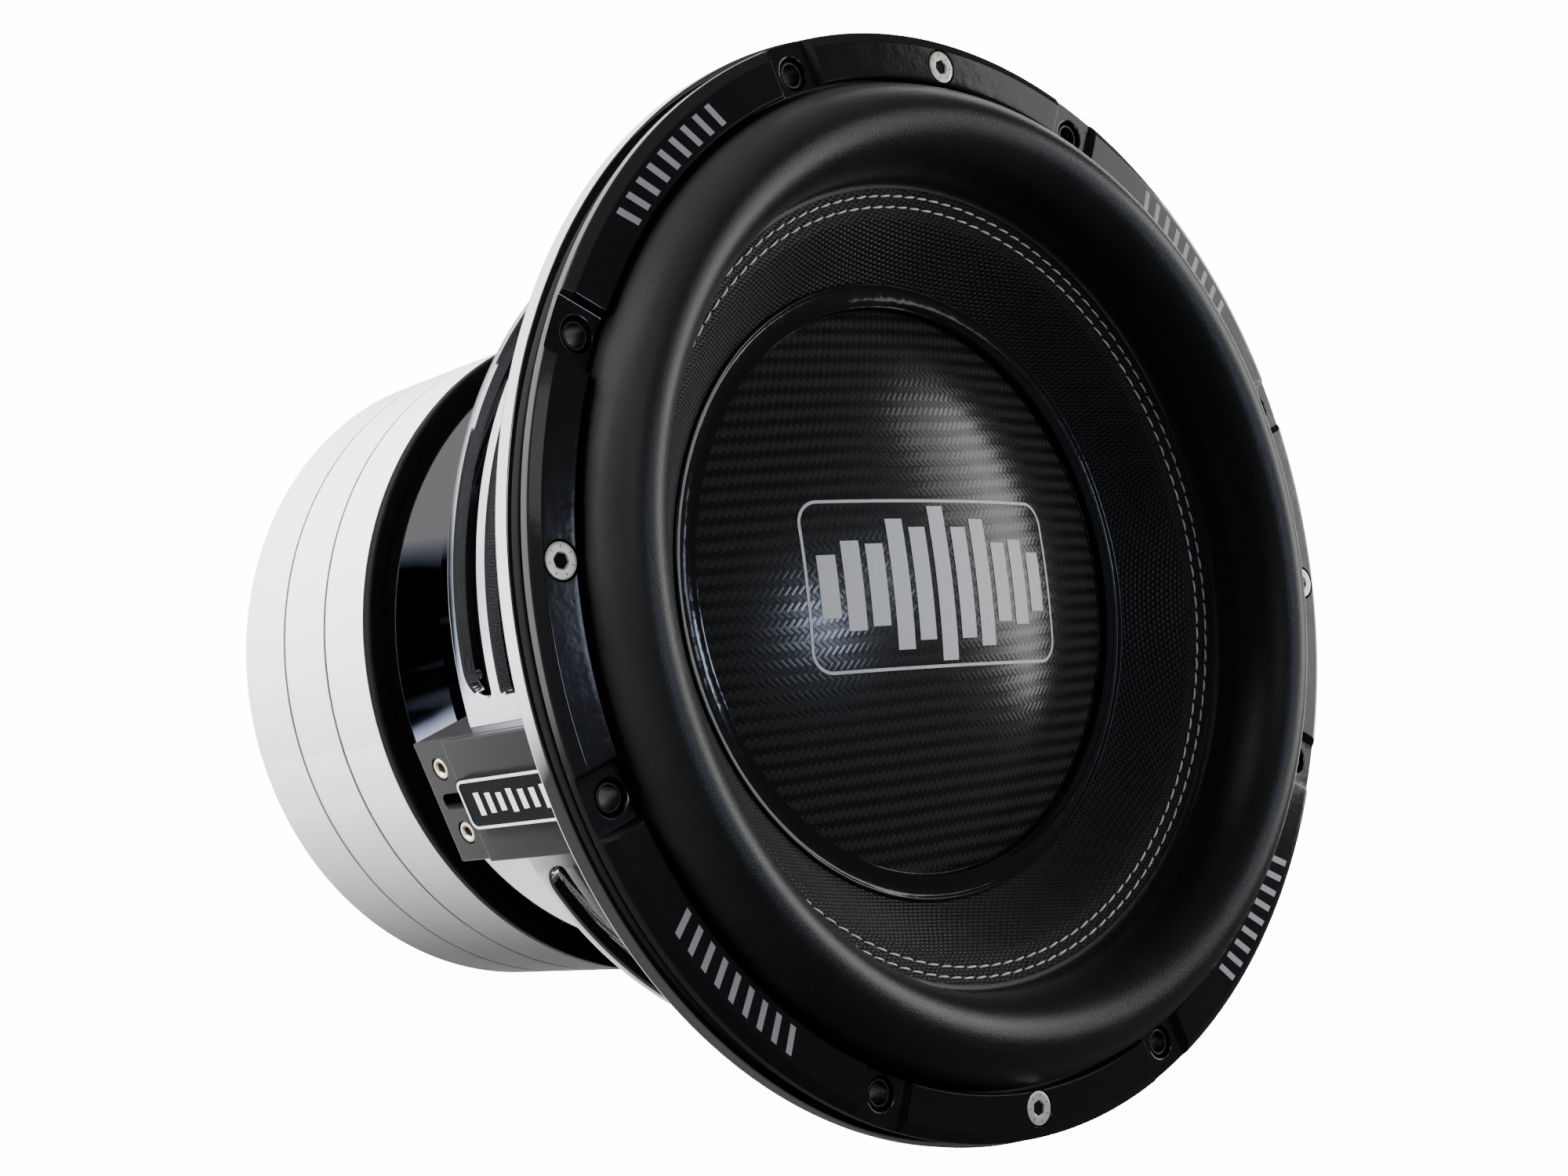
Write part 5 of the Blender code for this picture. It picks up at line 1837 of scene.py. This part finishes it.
@dataclass
class TrimRing:
    """The gloss ring round the surround, with its recesses, screws and printed marks."""

    bolt_circle: float = 149 * MM
    face: float = 236.0 * MM
    depth: float = 2.4 * MM
    half_width: float = 8.75 * MM
    floor_half_width: float = 7.5 * MM
    floor_steps: int = 8
    land_steps: int = 26
    head_radius: float = 4.7 * MM
    marks_per_group: int = 9

    def build(self) -> None:
        """Builds the ring and what is on it."""
        self.ring()
        self.gasket()
        self.grommets()
        self.screws()
        self.marks()

    def profile(self) -> list[Point]:
        """The ring's closed profile, rounded at its edges."""
        low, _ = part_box("trim_ring")
        corners = [
            (143.8 * MM, self.face, 0.9 * MM),
            (154.2 * MM, self.face, 1.2 * MM),
            (157.3 * MM, self.face - 1.7 * MM, 0.8 * MM),
            (157.3 * MM, low.z, 0.3 * MM),
            (143.8 * MM, low.z, 0.2 * MM),
        ]
        points = rounded(corners, 5)
        dense: list[Point] = []
        for (r0, z0), (r1, z1) in zip(points, points[1:] + points[:1]):
            pieces = 6 if math.hypot(r1 - r0, z1 - z0) > 6 * MM else 1
            dense += [(r0 + (r1 - r0) * k / pieces, z0 + (z1 - z0) * k / pieces) for k in range(pieces)]
        return dense

    def recess(self) -> list[Point]:
        """Offset from a recess's middle and depth, from one side to the other."""
        top, floor, depth = self.half_width, self.floor_half_width, self.depth
        side = [
            (-top - 0.30 * MM, 0.0),
            (-top - 0.08 * MM, 0.05 * MM),
            (-top + 0.10 * MM, 0.28 * MM),
            (-floor - 0.16 * MM, depth - 0.32 * MM),
            (-floor + 0.04 * MM, depth - 0.07 * MM),
            (-floor + 0.34 * MM, depth),
        ]
        inner = floor - 0.34 * MM
        level = [(-inner + 2 * inner * i / self.floor_steps, depth) for i in range(1, self.floor_steps)]
        return side + level + [(-w, d) for w, d in side[::-1]]

    def ring(self) -> None:
        """The ring as one grid of stations, then its holes."""
        profile = self.profile()
        recess = self.recess()
        edge = recess[-1][0]
        stations: list[tuple[float, float, float, float]] = []
        for zone in range(8):
            centre = math.radians(22.5 + 45.0 * zone)
            stations += [(centre, offset, depth, -1.0) for offset, depth in recess]
            stations += [(centre, edge, 0.0, i / self.land_steps) for i in range(1, self.land_steps)]
        work = bmesh.new()
        rows = []
        for centre, offset, depth, share in stations:
            row = []
            for radius, height in profile:
                angle = centre + math.asin(offset / radius)
                if share >= 0.0:
                    following = centre + math.pi / 4 - math.asin(edge / radius)
                    angle += (following - angle) * share
                row.append(
                    work.verts.new(
                        (radius * math.cos(angle), radius * math.sin(angle), min(height, self.face - depth))
                    )
                )
            rows.append(row)
        count = len(profile)
        for first, second in zip(rows, rows[1:] + rows[:1]):
            for i in range(count):
                j = (i + 1) % count
                work.faces.new((first[i], first[j], second[j], second[i]))
        bmesh.ops.dissolve_degenerate(work, dist=1e-7, edges=work.edges)
        ring = from_work("trim_ring_body", work)
        carve(ring, self.holes())
        settle(ring, LACQUER, Body.FRAME, ["trim_ring"], 32.0)

    def holes(self) -> list[bpy.types.Object]:
        """Cutters for the mounting holes and the countersinks."""
        low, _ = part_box("trim_ring")
        floor = self.face - self.depth
        shapes = []
        mouth = [
            (5.25 * MM, 3 * MM),
            (5.25 * MM, 0.0),
            (4.95 * MM, -0.05 * MM),
            (4.72 * MM, -0.2 * MM),
            (4.65 * MM, -0.5 * MM),
        ]
        for i in range(8):
            angle = math.radians(22.5 + 45.0 * i)
            loops = [circle(r, floor + z) for r, z in mouth] + [circle(4.65 * MM, low.z - 2 * MM)]
            shape = skin("mount_hole", loops)
            at = Vector((self.bolt_circle * math.cos(angle), self.bolt_circle * math.sin(angle), 0.0))
            shapes.append(move(shape, Matrix.Translation(at)))
        rim = self.head_radius + 0.42 * MM
        for i in range(4):
            angle = math.pi / 2 * i
            loops = [
                circle(rim + 0.25 * MM, self.face + 2 * MM),
                circle(rim + 0.25 * MM, self.face),
                circle(rim, self.face - 0.2 * MM),
                circle(rim, self.face - 0.9 * MM),
                circle(3.1 * MM, self.face - 3.4 * MM),
                circle(3.1 * MM, low.z - 2 * MM),
            ]
            at = Vector((self.bolt_circle * math.cos(angle), self.bolt_circle * math.sin(angle), 0.0))
            shapes.append(move(skin("countersink", loops), Matrix.Translation(at)))
        return shapes

    def gasket(self) -> None:
        """The foam ring between the flange and the trim ring, with its holes."""
        low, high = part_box("flange_gasket")
        corners = [
            (145.3 * MM, high.z, 0.0),
            (high.x, high.z, 0.7 * MM),
            (high.x, low.z, 0.7 * MM),
            (145.3 * MM, low.z, 0.0),
        ]
        gasket = lathe("foam_gasket", rounded(corners, 3))
        cutters = []
        for i in range(12):
            angle_deg, radius = (22.5 + 45.0 * i, 3.3 * MM) if i < 8 else (90.0 * (i - 8), 3.0 * MM)
            spot = (
                Vector((math.cos(math.radians(angle_deg)), math.sin(math.radians(angle_deg)), 0.0))
                * self.bolt_circle
            )
            cutters.append(
                drum("gasket_hole", radius, spot + Vector((0, 0, 0.2265)), spot + Vector((0, 0, 0.2335)), 24)
            )
        carve(gasket, cutters)
        settle(gasket, FOAM, Body.FRAME, ["flange_gasket"])

    def grommets(self) -> None:
        """A gloss black grommet in each mounting hole."""
        low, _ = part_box("trim_ring")
        seat = low.z - 0.1 * MM
        corners = [
            (2.9 * MM, seat + 1.5 * MM, 0.3 * MM),
            (3.9 * MM, seat + 1.5 * MM, 0.5 * MM),
            (4.5 * MM, seat, 0.0),
            (3.08 * MM, seat, 0.0),
            (3.08 * MM, 222.2 * MM, 0.0),
            (2.8 * MM, 222.2 * MM, 0.0),
        ]
        grommet = lathe("grommet", rounded(corners, 3), 40)
        made = ring_of("hole_grommets", grommet, 8, self.bolt_circle, 0.0, 22.5, EYELET.material())
        settle(made, EYELET, Body.FRAME)

    def screws(self) -> None:
        """The four countersunk screws, with a hex socket holding a dark disc of painted shade, and a ring of
        plain ticks.
        """
        top = -0.05 * MM
        head = self.head_radius
        loops = [
            circle(2.5 * MM, -13.4 * MM),
            circle(2.5 * MM, -3.0 * MM),
            circle(head - 0.1 * MM, -0.62 * MM),
            circle(head, -0.5 * MM),
            circle(head, top - 0.16 * MM),
            circle(head - 0.05 * MM, top - 0.05 * MM),
            circle(head - 0.17 * MM, top),
            circle(head - 0.9 * MM, top),
            circle(2.35 * MM, top),
            circle(2.25 * MM, top - 0.05 * MM),
            hexagon(1.92 * MM, top - 0.20 * MM),
            hexagon(1.85 * MM, top - 0.32 * MM),
            hexagon(1.85 * MM, top - 2.1 * MM),
            circle(0.5 * MM, top - 2.6 * MM),
        ]
        screw = skin("trim_screw", loops)
        nodes = [f"trim_screw_{i}" for i in range(1, 5)]
        made = ring_of(
            "trim_screws", screw, 4, self.bolt_circle, self.face, 0.0, SCREW_STEEL.material(), 20.0
        )
        settle(made, SCREW_STEEL, Body.FRAME, nodes, 32.0)
        # Painted shade: a dark hex disc low in each socket, standing in for the shade deep in the socket.
        plug = skin("plug", [hexagon(1.8 * MM, -1.0 * MM, 24), hexagon(1.8 * MM, -0.55 * MM, 24)])
        socket_shade_discs = ring_of(
            "socket_floors", plug, 4, self.bolt_circle, self.face, 0.0, PLATE_BLACK.material(), 20.0
        )
        settle(socket_shade_discs, PLATE_BLACK, Body.FRAME)
        tick = box("tick", (-0.38 * MM, -0.09 * MM, -0.04 * MM), (0.38 * MM, 0.09 * MM, 0.06 * MM))
        ticks = ring_of("ticks", tick, 7, 3.55 * MM, 0.0, 0.0, BLACK_OXIDE.material())
        all_ticks = ring_of(
            "screw_ticks", ticks, 4, self.bolt_circle, self.face + top, 0.0, BLACK_OXIDE.material(), 11.0
        )
        settle(all_ticks, BLACK_OXIDE, Body.FRAME)

    def marks(self) -> None:
        """Four groups of slanted printed bars on the ring's face."""
        half_tall, half_wide, slant, step = 3.5 * MM, 1.05 * MM, 0.30, 2.15
        bar = box("bar", (-half_tall, -half_wide, -0.02 * MM), (half_tall, half_wide, 0.04 * MM))
        for vertex in bar.data.vertices:
            vertex.co.y += slant * vertex.co.x
        reach, level = self.bolt_circle + 0.4 * MM, self.face + 0.02 * MM
        first = 45.0 - step * (self.marks_per_group - 1) / 2
        arc_of_bars = ring_of(
            "bars", bar, self.marks_per_group, reach, level, first, RING_PRINT.material(), step_deg=step
        )
        marks = ring_of("ring_marks", arc_of_bars, 4, 0.0, 0.0, 0.0, RING_PRINT.material())
        settle(marks, RING_PRINT, Body.FRAME)


@dataclass
class Terminal:
    """One push-in terminal on a spoke, built facing +X and then turned into place."""

    letter: str
    turn_deg: float
    face: float = 136.5 * MM
    bottom: float = 140.0 * MM
    top: float = 220.5 * MM
    half_width: float = 17.8 * MM
    cover_bottom: float = 156.8 * MM
    plate_bottom: float = 160.1 * MM
    plate_half: float = 7.2 * MM
    screw_z: float = 147.9 * MM
    port_offset: float = 9.5 * MM
    fix_z: float = 155.6 * MM
    fix_offset: float = 9.6 * MM

    @property
    def turn(self) -> Matrix:
        """The turn that takes +X to the terminal's spoke."""
        return Matrix.Rotation(math.radians(self.turn_deg), 4, "Z")

    def build(self) -> None:
        """Builds the base, the cover, the plate and their screws."""
        self.base()
        self.cover()
        self.plate()
        self.screws()

    def base(self) -> None:
        """The terminal's block, cut to the basket's flare at the back."""
        block = box(
            f"terminal_block_{self.letter}",
            (self.face - 31 * MM, -self.half_width, self.bottom),
            (self.face, self.half_width, self.top),
            0.45 * MM,
        )
        envelope = [(r + 0.6 * MM, z) for r, z in Basket().cove(0.0, 28) if z > self.bottom - 8 * MM]
        high = self.top + 4 * MM
        outline = [(0.0, envelope[0][1]), *envelope, (131.6 * MM, high), (0.0, high)]
        cutters = [lathe("flare", outline, 192)]
        for side in (-1.0, 1.0):
            y = side * self.port_offset
            port_x = self.face - 6.2 * MM
            mouth = [
                circle(3.9 * MM, self.bottom - 1 * MM, 32),
                circle(3.9 * MM, self.bottom, 32),
                circle(3.3 * MM, self.bottom + 0.5 * MM, 32),
                circle(3.3 * MM, self.screw_z + 3 * MM, 32),
            ]
            port = move(skin("port", mouth), Matrix.Translation((port_x, y, 0.0)))
            cutters.append(port)
            inner = port_x - 1.6 * MM
            cutters.append(
                drum(
                    "well", 3.45 * MM, (inner, y, self.screw_z), (self.face + 1 * MM, y, self.screw_z), 32
                )
            )
            z, y_fix = self.fix_z, side * self.fix_offset
            cutters.append(
                drum(
                    "fix", 2.3 * MM, (self.face - 2.6 * MM, y_fix, z), (self.face + 1 * MM, y_fix, z), 32
                )
            )
        for cutter in cutters:
            carve(block, [cutter])
        slot = box(
            "slot",
            (self.face - 6 * MM, -2.3 * MM, self.screw_z - 4.5 * MM),
            (self.face + 2 * MM, 2.3 * MM, self.fix_z + 2 * MM),
            1.9 * MM,
        )
        carve(block, [slot])
        move(block, self.turn)
        settle(block, GUNMETAL, Body.FRAME, [f"terminal_base_{self.letter}"], 30.0)

    def cover(self) -> None:
        """The flat cover over the block's upper part."""
        cover = box(
            f"terminal_lid_{self.letter}",
            (self.face + 0.3 * MM, -self.half_width, self.cover_bottom),
            (self.face + 2.3 * MM, self.half_width, self.top),
            0.55 * MM,
        )
        move(cover, self.turn)
        settle(cover, GUNMETAL, Body.FRAME, [f"terminal_cover_{self.letter}"], 30.0)

    def plate(self) -> None:
        """The label plate: bright frame, black field and a plain level mark."""
        low = self.face + 2.6 * MM
        face = low + 2.6 * MM
        body = box(
            f"label_body_{self.letter}",
            (low, -self.plate_half, self.plate_bottom),
            (face - 0.15 * MM, self.plate_half, self.top),
            0.5 * MM,
        )
        move(body, self.turn)
        settle(body, PLATE_BLACK, Body.FRAME, [f"label_plate_{self.letter}"], 30.0)
        inset, width, corner = 0.15 * MM, 0.75 * MM, 2.6 * MM
        outlines = []
        for shrink in (inset, inset + width):
            radius = corner - shrink
            outline = []
            for cy, cz, start in (
                (self.plate_half - corner, self.top - corner - 0.3 * MM, 0.0),
                (-self.plate_half + corner, self.top - corner - 0.3 * MM, 90.0),
                (-self.plate_half + corner, self.plate_bottom + corner, 180.0),
                (self.plate_half - corner, self.plate_bottom + corner, 270.0),
            ):
                for i in range(7):
                    angle = math.radians(start + 15.0 * i)
                    outline.append((cy + radius * math.cos(angle), cz + radius * math.sin(angle)))
            outlines.append(outline)
        work = bmesh.new()
        rows = []
        for outline, x in (
            (outlines[0], face),
            (outlines[1], face),
            (outlines[1], face - 0.3 * MM),
            (outlines[0], face - 0.3 * MM),
        ):
            rows.append([work.verts.new((x, y, z)) for y, z in outline])
        for first, second in zip(rows, rows[1:] + rows[:1]):
            for i in range(len(first)):
                j = (i + 1) % len(first)
                work.faces.new((first[i], first[j], second[j], second[i]))
        border = from_work(f"label_border_{self.letter}", work)
        move(border, self.turn)
        settle(border, LABEL_PRINT, Body.FRAME)
        def heights(recipe: Recipe, place: Wire) -> Wire:
            """Bar height from its place in the row."""
            return (place * 1.1).sine().absolute() * 2.4 * MM + 4.2 * MM

        marks = row_of_bars(
            f"label_marks_{self.letter}", 10, 5.0 * MM, 2.4 * MM, heights, LABEL_PRINT.material()
        )
        lay = Matrix(
            (
                (0.0, 0.0, 1.0, face - 0.05 * MM),
                (0.0, 1.0, 0.0, 0.0),
                (-1.0, 0.0, 0.0, 0.0),
                (0.0, 0.0, 0.0, 1.0),
            )
        )
        lay[2][3] = self.plate_bottom + 30.0 * MM
        move(marks, lay)
        move(marks, self.turn)
        settle(marks, LABEL_PRINT, Body.FRAME)

    def screws(self) -> None:
        """The gold set screws, each with a dark disc of painted shade in its socket, and the black cross-head
        screws.
        """
        lay = Matrix.Rotation(math.radians(90.0), 4, "Y")
        for number, side in (("1", -1.0), ("2", 1.0)):
            tag = f"{self.letter}{number}"
            top = 0.0
            loops = [
                circle(2.2 * MM, top - 2.75 * MM, 36),
                circle(2.95 * MM, top - 2.2 * MM, 36),
                circle(3.05 * MM, top - 0.7 * MM, 36),
                circle(3.05 * MM, top - 0.35 * MM, 36),
                circle(2.75 * MM, top, 36),
                circle(2.1 * MM, top, 36),
                hexagon(1.62 * MM, top - 0.3 * MM, 36),
                hexagon(1.55 * MM, top - 0.4 * MM, 36),
                hexagon(1.55 * MM, top - 1.9 * MM, 36),
                circle(0.4 * MM, top - 2.1 * MM, 36),
            ]
            screw = skin(f"grub_screw_{tag}", loops)
            at = Matrix.Translation((self.face - 0.2 * MM, side * self.port_offset, self.screw_z))
            move(screw, self.turn @ at @ lay)
            settle(screw, GOLD, None, [f"set_screw_{tag}"], 32.0)
            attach(screw, f"screw_{tag}")
            # Painted shade: a dark hex disc in each set screw's socket, standing in for the shade deep in the
            # socket.
            plug = skin(
                f"grub_floor_{tag}", [hexagon(1.5 * MM, -1.2 * MM, 24), hexagon(1.5 * MM, -0.8 * MM, 24)]
            )
            move(plug, self.turn @ at @ lay)
            settle(plug, PLATE_BLACK, None)
            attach(plug, f"screw_{tag}")
            head = [
                circle(1.3 * MM, -16.5 * MM, 32),
                circle(1.3 * MM, -1.9 * MM, 32),
                circle(1.9 * MM, -1.8 * MM, 32),
                circle(1.9 * MM, -0.35 * MM, 32),
                circle(1.6 * MM, 0.0, 32),
            ]
            fixing = skin(f"cross_screw_{tag}", head)
            cross = [
                box("cross", (-1.15 * MM, -0.26 * MM, -0.9 * MM), (1.15 * MM, 0.26 * MM, 1 * MM)),
                box("cross", (-0.26 * MM, -1.15 * MM, -0.9 * MM), (0.26 * MM, 1.15 * MM, 1 * MM)),
            ]
            for bar in cross:
                carve(fixing, [bar])
            at = Matrix.Translation((self.face - 0.6 * MM, side * self.fix_offset, self.fix_z))
            move(fixing, self.turn @ at @ lay)
            settle(fixing, BLACK_OXIDE, Body.FRAME, [f"base_screw_{tag}"], 32.0)


@dataclass
class Leads:
    """The four braided leads between the terminals and the coil former."""

    radius: float = 1.1 * MM
    hump: float = 10 * MM
    start_x: float = 125.8 * MM
    end_x: float = 39.5 * MM
    level: float = 147.9 * MM
    straight: float = 0.3
    points: int = 36

    def build(self) -> None:
        """Builds each lead as a bending tube."""
        number = 1
        for turn_deg in (202.5, 22.5):
            for side in (-1.0, 1.0):
                self.lead(number, math.radians(turn_deg), side)
                number += 1

    def lead(self, number: int, turn: float, side: float) -> None:
        """One lead.

        Args:
            number: Its number.
            turn: Angle of its terminal.
            side: Which of the terminal's contacts it comes from.
        """
        start = Vector((self.start_x, side * 9.5 * MM, self.level))
        end = Vector((self.end_x, side * 4.75 * MM, self.level + 4 * MM))
        spin = Matrix.Rotation(turn, 4, "Z")
        curve = bpy.data.curves.new(f"lead_{number}", "CURVE")
        curve.dimensions = "3D"
        curve.bevel_depth = self.radius
        curve.bevel_resolution = 3
        curve.use_fill_caps = True
        spline = curve.splines.new("POLY")
        spline.points.add(self.points - 1)
        for i in range(self.points):
            share = i / (self.points - 1)
            point = start.lerp(end, share)
            rise = max(0.0, (share - self.straight) / (1.0 - self.straight))
            point.z = start.z + (end.z - start.z) * rise + self.hump * math.sin(math.pi * rise) ** 2
            point.y = start.y + (end.y - start.y) * rise
            spline.points[i].co = (*point, 1.0)
        holder = bpy.data.objects.new("lead_curve", curve)
        bpy.context.scene.collection.objects.link(holder)
        bpy.context.view_layer.update()
        graph = bpy.context.evaluated_depsgraph_get()
        mesh = bpy.data.meshes.new_from_object(holder.evaluated_get(graph))
        bpy.data.objects.remove(holder)
        work = bmesh.new()
        work.from_mesh(mesh)
        bmesh.ops.remove_doubles(work, verts=work.verts, dist=1e-6)
        tube = from_work(f"braided_lead_{number}", work)
        move(tube, spin)
        settle(tube, TINSEL, None, [f"tinsel_lead_{number}"], 60.0)
        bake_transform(tube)


# ------------------------------------------------------------------ studio


DAYLIGHT: Colour = (0.66, 0.77, 1.0)
PLAIN: Colour = (1.0, 1.0, 1.0)
# Each soft box: name, (azimuth, elevation, distance), (width, height), watts, colour, seen in mirrors.
SOFT_BOXES: tuple[tuple[str, Corner, Point, float, Colour, bool], ...] = (
    ("window", (12.0, 18.0, 1.25), (0.80, 0.52), 4.6, PLAIN, True),
    ("window_top", (17.0, 33.5, 1.3), (0.76, 0.24), 1.05, PLAIN, True),
    ("low_left", (149.0, -14.0, 1.1), (0.8, 0.5), 95.0, PLAIN, False),
    ("low_top", (142.0, -22.0, 1.2), (0.6, 0.5), 70.0, PLAIN, False),
    ("over_left", (128.0, 12.0, 1.3), (0.30, 0.5), 0.9, PLAIN, True),
    ("ceiling", (140.0, 60.0, 1.3), (0.35, 0.35), 0.45, PLAIN, True),
    ("spark", (3.0, 69.0, 1.2), (0.15, 0.15), 1.1, DAYLIGHT, True),
    ("glint", (12.0, 54.0, 1.2), (0.12, 0.14), 0.26, DAYLIGHT, True),
    ("fill", (12.0, 52.0, 1.4), (0.5, 0.5), 9.5, PLAIN, False),
)


@dataclass
class Studio:
    """The floor, the light and the camera."""

    unit: float = 149 * MM
    face: float = 236.0 * MM
    eye: tuple[float, float, float] = (-3.15103, -0.49994, 2.91873)
    gaze: tuple[float, float, float, float] = (0.932116, 0.069617, -0.354961, -0.017765)
    lens: float = 52.02
    white: float = 14.0
    dim: float = 0.075
    dim_reflected: float = 0.06
    ground_half: float = 2.5
    ground_z: float = -0.5
    ground_level: float = 3.0
    dark_x: float = -0.40
    dark_y: float = 0.04
    dark_half_x: float = 0.19
    dark_half_y: float = 0.26
    behind_share: float = 0.93
    front_share: float = 0.5
    below_share: float = 0.94
    floor_half: float = 6.0
    floor_z: float = -0.5 * MM
    sensor: float = 36.0
    nearest: float = 0.01
    farthest: float = 50.0

    def build(self) -> None:
        """Sets up the whole studio."""
        self.camera()
        self.floor()
        self.world()
        self.ground()
        self.lights()

    def camera(self) -> None:
        """The camera at its measured place."""
        data = bpy.data.cameras.new("camera")
        data.lens = self.lens
        data.sensor_width = self.sensor
        data.clip_start = self.nearest
        data.clip_end = self.farthest
        camera = bpy.data.objects.new("camera", data)
        bpy.context.scene.collection.objects.link(camera)
        camera.rotation_mode = "QUATERNION"
        camera.rotation_quaternion = Quaternion(self.gaze)
        eye = Vector(self.eye) * self.unit
        camera.location = eye + Vector((0.0, 0.0, self.face))
        bpy.context.scene.camera = camera

    def floor(self) -> None:
        """The pale floor that the camera sees."""
        half = self.floor_half
        around = ((-half, -half), (half, -half), (half, half), (-half, half))
        corners = [Vector((x, y, self.floor_z)) for x, y in around]
        mesh = bpy.data.meshes.new("floor")
        mesh.from_pydata(corners, [], [(0, 1, 2, 3)])
        floor = link("floor", mesh)
        surface = Surface("floor")
        surface.set(base_color=(0.9, 0.9, 0.9), roughness=0.9, specular_ior_level=0.0)
        surface.set(emission_color=(1.0, 1.0, 1.0), emission_strength=self.white)
        mesh.materials.append(surface.material)
        floor.visible_glossy = False
        floor.visible_diffuse = False

    def world(self) -> None:
        """White air for the camera, dim air for the light that falls on the object."""
        world = bpy.data.worlds.new("studio")
        bpy.context.scene.world = world
        world.use_nodes = True
        graph = Graph(world.node_tree)
        path = world.node_tree.nodes.new("ShaderNodeLightPath")
        back = world.node_tree.nodes["Background"]
        seen = Wire(graph, path.outputs["Is Camera Ray"])
        glossy = Wire(graph, path.outputs["Is Glossy Ray"])
        level = seen * self.white + (1.0 - seen) * (glossy * self.dim_reflected + (1.0 - glossy) * self.dim)
        world.node_tree.links.new(level.socket, back.inputs["Strength"])
        back.inputs["Color"].default_value = (1.0, 1.0, 1.0, 1.0)

    def aimed(self, azimuth_deg: float, elevation_deg: float, distance: float) -> tuple[Vector, Vector]:
        """A place round the ring's face.

        Args:
            azimuth_deg: Angle from +X.
            elevation_deg: Angle above the ring's face.
            distance: Distance from the middle of the ring's face.

        Returns:
            The place, and the middle of the ring's face.
        """
        azimuth, elevation = math.radians(azimuth_deg), math.radians(elevation_deg)
        level = math.cos(elevation)
        away = Vector((level * math.cos(azimuth), level * math.sin(azimuth), math.sin(elevation)))
        middle = Vector((0.0, 0.0, self.face))
        return middle + away * distance, middle

    def panel(self, name: str, place: Corner, size: Point, power: float, colour: Colour) -> bpy.types.Object:
        """One soft rectangular light.

        Args:
            name: Its name.
            place: Its azimuth, elevation and distance from the ring's face.
            size: Its width and height.
            power: Its power in watts.
            colour: Its colour.

        Returns:
            The light.
        """
        data = bpy.data.lights.new(name, "AREA")
        data.color = colour
        data.shape = "RECTANGLE"
        data.size, data.size_y = size
        data.energy = power
        lamp = bpy.data.objects.new(name, data)
        bpy.context.scene.collection.objects.link(lamp)
        lamp.location, target = self.aimed(*place)
        lamp.rotation_mode = "QUATERNION"
        lamp.rotation_quaternion = (target - lamp.location).to_track_quat("-Z", "Y")
        lamp.visible_camera = False
        return lamp

    def ground(self) -> None:
        """What the plating mirrors from below: white, with a dark patch in front and grey behind."""
        work = bmesh.new()
        bmesh.ops.create_grid(work, x_segments=1, y_segments=1, size=self.ground_half)
        mesh = bpy.data.meshes.new("ground")
        work.to_mesh(mesh)
        work.free()
        ground = link("ground", mesh)
        mesh.transform(Matrix.Translation((0.0, 0.0, self.ground_z)))
        surface = Surface("ground")
        surface.set(base_color=(0.0, 0.0, 0.0), roughness=1.0, specular_ior_level=0.0)
        x, y, _ = surface.parts(surface.place)
        across, along = (x - self.dark_x) / self.dark_half_x, (y - self.dark_y) / self.dark_half_y
        reach = surface.math("SQRT", across * across + along * along)
        edge = surface.ramp(reach * 0.5, ((0.42, 0.0), (0.56, 1.0)))
        streak = surface.ramp(
            surface.noise(surface.mapped((3.0, 9.0, 1.0), 30.0), 1.0, 2.0), ((0.52, 0.0), (0.70, 0.035))
        )
        far = surface.math("MULTIPLY", (surface.math("SQRT", x * x + y * y) - 0.56) / 0.05, 1.0, clamp=True)
        behind = surface.math("MULTIPLY", (y - 0.08) / 0.12, 1.0, clamp=True) * (1.0 - far)
        below = surface.math("MULTIPLY", (-0.20 - y) / 0.14, 1.0, clamp=True) * far
        front = surface.math("MULTIPLY", (-0.05 - y) / 0.30, 1.0, clamp=True)
        level = (edge + (1.0 - edge) * streak) * (1.0 - behind * self.behind_share)
        level = level * (1.0 - front * self.front_share) * (1.0 - below * self.below_share)
        tint = surface.mix(edge, (0.55, 0.68, 1.0), (1.0, 1.0, 1.0))
        colour = surface.node(
            "ShaderNodeMix", {"data_type": "RGBA"}, {0: level, 6: (0.0, 0.0, 0.0, 1.0), 7: tint}, 2
        )
        surface.set(emission_color=colour, emission_strength=self.ground_level)
        mesh.materials.append(surface.material)
        ground.visible_camera = False
        ground.visible_diffuse = False
        ground.visible_shadow = False

    def lights(self) -> None:
        """The soft boxes."""
        for name, place, size, power, colour, mirrored in SOFT_BOXES:
            self.panel(name, place, size, power, colour).visible_glossy = mirrored


def main() -> None:
    """Builds everything in order."""
    logging.basicConfig(level=logging.INFO, format="%(name)s %(message)s")
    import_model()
    Studio().build()
    Motor().build()
    Basket().build()
    Suspension().build()
    ConeSet().build()
    TrimRing().build()
    for letter, turn_deg in (("a", 202.5), ("b", 22.5)):
        Terminal(letter, turn_deg).build()
    Leads().build()


if __name__ == "__main__":
    main()
